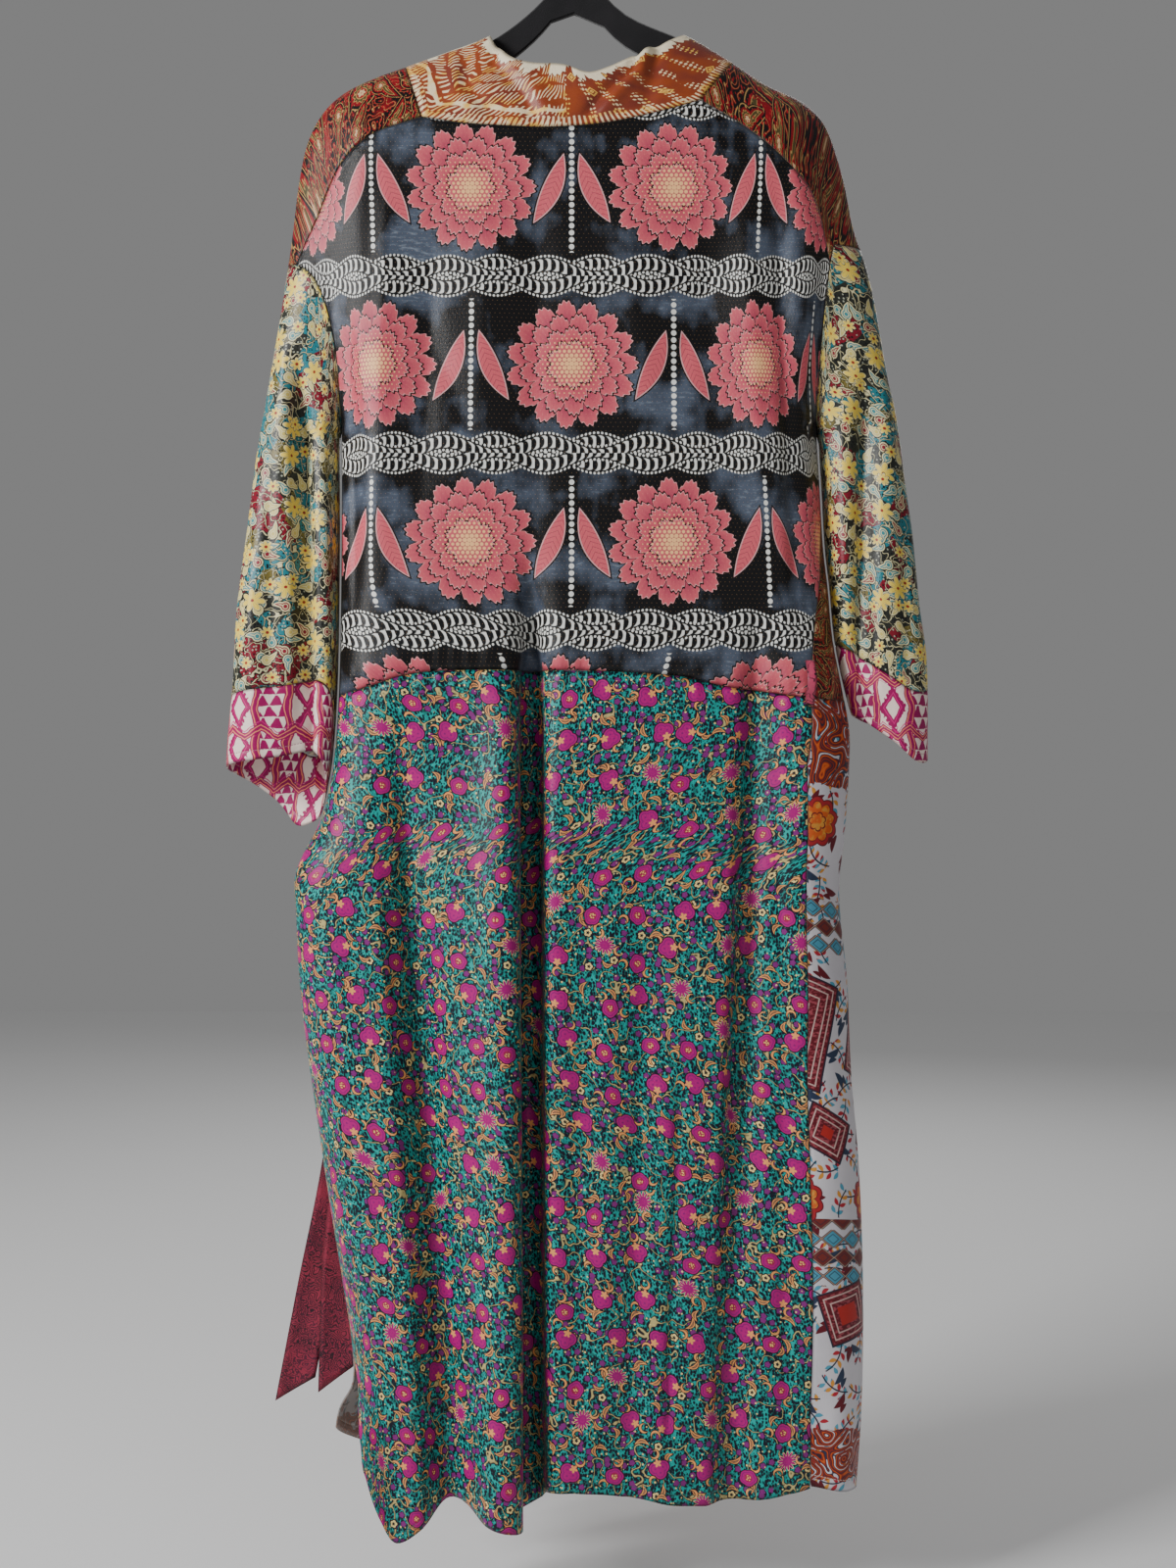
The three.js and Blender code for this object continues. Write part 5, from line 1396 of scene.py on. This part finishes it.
def white_print():
    """Rows of rust scrolls, orange flowers, sprigs, outlined diamonds and maroon blocks on white."""
    dye = Dye("white_medley", roughness=0.45)
    white, ink, rust = (0.68, 0.65, 0.68), (0.012, 0.016, 0.035), (0.24, 0.018, 0.008)
    orange, blue, maroon = (0.60, 0.10, 0.012), (0.07, 0.30, 0.42), (0.12, 0.004, 0.012)
    gold = (0.62, 0.27, 0.04)
    level = dye.v + dye.number("SINE", dye.u * 0.03) * 6

    def row(at, half):
        """A level row with a ragged edge."""
        return dye.inside(dye.line(level - at, half) + (dye.noise(12, 9, 2) - 0.5) * 9)

    dye.colour = dye.over(white, (0.52, 0.50, 0.54), dye.noise(40, 1, 2))
    # sprigs: a stem with small leaves of several colours
    x, y, random = dye.strewn(27, 0.7, 2)
    leaf_x, leaf_y = dye.turn(abs(x) - 3.6, y % 7.0 - 3.5, -0.9)
    leaflet = dye.least(dye.leaf(leaf_x, leaf_y, 8, 3.6, 0.6), dye.line(y, 14))
    turn = (y / 7.0 + random[1] * 3) % 3
    tint = dye.over(blue, (0.40, 0.015, 0.03), dye.above(turn, 1))
    tint = dye.over(tint, gold, dye.above(turn, 2))
    dye.paint(tint, leaflet)
    dye.stain(ink, dye.inside(dye.line(x + y * y * 0.02, 0.7)), dye.inside(dye.line(y, 15)))
    x, y, random = dye.strewn(22, 0.9, 3)
    dark_leaf = dye.most(dye.leaf(x, y, 17, 6, 2.5), dye.leaf(x - 4, y - 3, 10, 4.5, -1.5))
    keep = dye.above(random[1], 0.4)
    shade = dye.over((0.02, 0.035, 0.075), maroon, dye.above(random[2], 0.6))
    dye.stain(shade, keep, dye.inside(dark_leaf))
    # scrolls: ribbons of rust with orange and dark lines
    for at, half, seed, size in ((-738, 46, 6, 26), (-1362, 22, 9, 18)):
        ribbon = dye.line((dye.noise(size, seed, 0.5) - 0.5) * 92 % 15 - 7.5, 5.4)
        band = row(at, half)
        dye.stain(ink, band, dye.inside(ribbon + 0.9))
        dye.stain(rust, band, dye.inside(ribbon))
        dye.stain(orange, band, dye.inside(dye.line(ribbon - 1.9, 0.6)))
        dye.stain(ink, band, dye.inside(dye.line(ribbon - 4.1, 0.5)))
    # rows of outlined diamonds
    x, y = dye.brick(21, 16, dye.u, level)
    row_kind = dye.number("FLOORED_MODULO", dye.number("FLOOR", level / 16), 2)
    diamond = 10.5 - abs(x) - abs(y) * 1.3
    fill = dye.over(blue, (0.17, 0.02, 0.015), row_kind)
    for at, half in ((-903, 24), (-1188, 29)):
        band = dye.inside(dye.line(level - at, half))
        for depth, tone in ((1.6, ink), (0.3, (0.55, 0.33, 0.22)), (-0.6, ink), (-1.6, fill)):
            dye.stain(tone, band, dye.inside(diamond + depth))
        dye.stain(ink, band, dye.inside(dye.line(diamond - 5, 0.5)))
    # flowers with nine lobes
    for at, shift in ((-815, 12), (-1142, 44)):
        x, y = (dye.u + shift) % 76 - 38, level - at
        flower = dye.petals(x, y, 21, 9, 0.16, 1.0)
        lobes = dye.petals(x, y, 17, 9, 0.3, 0.7)
        dye.paint(maroon, flower + 1.2)
        dye.paint((0.36, 0.014, 0.02), flower)
        dye.paint(maroon, lobes + 0.9)
        dye.paint(orange, lobes)
        glow = dye.ramp(dye.noise(6, 5), 6, -2.8)
        dye.stain(gold, dye.inside(lobes), glow)
        dye.paint(maroon, dye.line(dye.petals(x, y, 8, 7, 0.3), 0.6))
    # maroon blocks, framed and hatched
    hatch = dye.ramp(dye.noise(4.5, 8, 2, squash=0.5), 7, -3.4)
    for at, wide, tall, pitch, angle, core in ((-992, 38, 48, 104, 0.3, 0), (-1084, 19, 19, 62, 0.5, 1),
                                               (-1240, 24, 22, 74, -0.3, 1)):
        x, y = dye.turn(dye.u % pitch - pitch / 2, level - at, angle)
        block = dye.least(dye.line(x, wide), dye.line(y, tall))
        dye.paint(ink, block + 1.4)
        dye.paint(maroon, block)
        dye.stain((0.36, 0.06, 0.08), dye.inside(block - 1), hatch)
        for depth in (4, 9) if core else (4, 9, 16, 24):
            dye.paint((0.60, 0.42, 0.38), dye.line(block - depth, 0.6))
        dye.paint((0.45, 0.02, 0.015), block - (14 if core else 29))
    return dye.finish(silk_ripple(dye, 24, 14), 0.25, 0.002, hem=10)


def rose_print():
    """Dark rose silk with fine plum and black swirls."""
    dye = Dye("rose_swirl", roughness=0.33)
    rose, plum, black = (0.25, 0.018, 0.045), (0.085, 0.010, 0.030), (0.022, 0.008, 0.014)
    dye.colour = dye.over(rose, (0.33, 0.03, 0.06), dye.noise(40, 1, 2))
    for size, seed, tone, half in ((13, 2, plum, 1.1), (21, 3, black, 0.9), (9, 4, black, 0.5)):
        swirl = (dye.noise(size, seed, 1.5) - 0.5) * size * 5
        away = dye.ramp(dye.noise(45, seed + 5, 1), 9, -3.6)
        dye.stain(tone, away, dye.inside(dye.line(swirl % 5.5 - 2.7, half)))
    return dye.finish(silk_ripple(dye, 20, 16), 0.3, 0.002, faced=True)


def pink_print():
    """Pink silk with a black and cream leafy print, too narrow to show a whole motif."""
    dye = Dye("pink_tape", roughness=0.4)
    dye.colour = dye.over((0.45, 0.03, 0.10), (0.60, 0.10, 0.16), dye.noise(5, 1, 2))
    leafy = (dye.noise(7, 2, 1) - 0.5) * 30
    dye.paint((0.03, 0.01, 0.02), dye.line(leafy, 0.7))
    return dye.finish(silk_ripple(dye, 8, 18), 0.3, 0.001, faced=True)


def velvet():
    """Black flocking, a little uneven where hands have rubbed it."""
    dye = Dye("black_flock", roughness=0.95, sheen=0.5, coordinates=None)
    rub = dye.noise(26, 1, 2)
    dye.colour = dye.over((0.006, 0.006, 0.007), (0.016, 0.015, 0.017), rub)
    return dye.coat(dye.noise(1.1, 2, 2), 0.5, 0.0006)


def steel():
    """Bright plated wire with fine draw marks."""
    dye = Dye("plated_wire", roughness=0.24, sheen=0.0, coordinates=None)
    dye.surface.inputs["Metallic"].default_value = 1.0
    dye.colour = dye.over((0.55, 0.55, 0.56), (0.36, 0.36, 0.37), dye.noise(5, 1, 3))
    return dye.coat(dye.noise(0.5, 2, 2, squash=6.0), 0.15, 0.0003)


# ---- Hanging the pieces on the frame ----
SILKS = {
    "back_lower": teal_print(), "back_upper": dark_print(), "sleeve": gold_print(),
    "front_upper": paisley_print(), "cuff": magenta_print(), "collar": rust_print(),
    "front_lower": white_print(), "belt": rose_print(), "belt_loop": pink_print(),
}
SILKS["front_band"] = SILKS["collar"]
# Each piece hangs from the root, hides the frame part it stands for and takes its silk
for node, piece in pieces.items():
    kind = node.removesuffix("_left").removesuffix("_right")
    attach(piece, "root")
    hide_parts(node)
    piece.data.materials.append(SILKS[kind])
for node, material in (("hanger_body", velvet()), ("hanger_hook", steel())):
    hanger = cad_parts[node]
    hanger.data.materials.clear()
    hanger.data.materials.append(material)

# ---- Floor, light and camera ----
FLOOR_HALF = 4
FLOOR_Z = -1.5
# Lamps as place, what they point at, size and watts
LAMPS = {
    "key": ((-2.1, -1.4, 0.35), (0, 0, -0.75), 0.8, 84),
    "fill": ((1.2, -2.4, -0.4), (0, 0, -0.8), 1.6, 4),
    "back": ((0.5, 2.0, 0.6), (0, 0, -0.6), 1.5, 20),
}
AMBIENT = 0.22
CAMERA_PLACE = (0.014, -1.54, -0.78)
SENSOR_WIDTH = 36
LENS = 40.17825
scene = bpy.context.scene


def floor():
    """A plain square floor below the hem."""
    mesh = bpy.data.meshes.new("floor")
    corners = [(x * FLOOR_HALF, y * FLOOR_HALF, FLOOR_Z) for x, y in ((-1, -1), (1, -1), (1, 1), (-1, 1))]
    mesh.from_pydata(corners, [], [(0, 1, 2, 3)])
    ground = bpy.data.objects.new("floor", mesh)
    scene.collection.objects.link(ground)
    paint = bpy.data.materials.new("floor")
    paint.use_nodes = True
    surface = paint.node_tree.nodes["Principled BSDF"].inputs
    surface["Base Color"].default_value = (0.8, 0.8, 0.8, 1)
    surface["Roughness"].default_value = 0.9
    mesh.materials.append(paint)


def lamp(name, place, aim, size, watts):
    """A soft square lamp turned to what it lights."""
    data = bpy.data.lights.new(name, "AREA")
    data.shape, data.size, data.energy = "SQUARE", size, watts
    light = bpy.data.objects.new(name, data)
    light.location = place
    light.rotation_euler = (Vector(aim) - Vector(place)).to_track_quat("-Z", "Y").to_euler()
    scene.collection.objects.link(light)


floor()
world = bpy.data.worlds.new("studio")
world.use_nodes = True
sky = world.node_tree.nodes["Background"].inputs
sky["Color"].default_value = (1, 1, 1, 1)
sky["Strength"].default_value = AMBIENT
scene.world = world
for name, lit in LAMPS.items():
    lamp(name, *lit)

view = bpy.data.cameras.new("camera")
view.sensor_width = SENSOR_WIDTH
view.lens = LENS
camera = bpy.data.objects.new("camera", view)
camera.location = CAMERA_PLACE
camera.rotation_euler = (math.pi / 2, 0, 0)
scene.collection.objects.link(camera)
scene.camera = camera
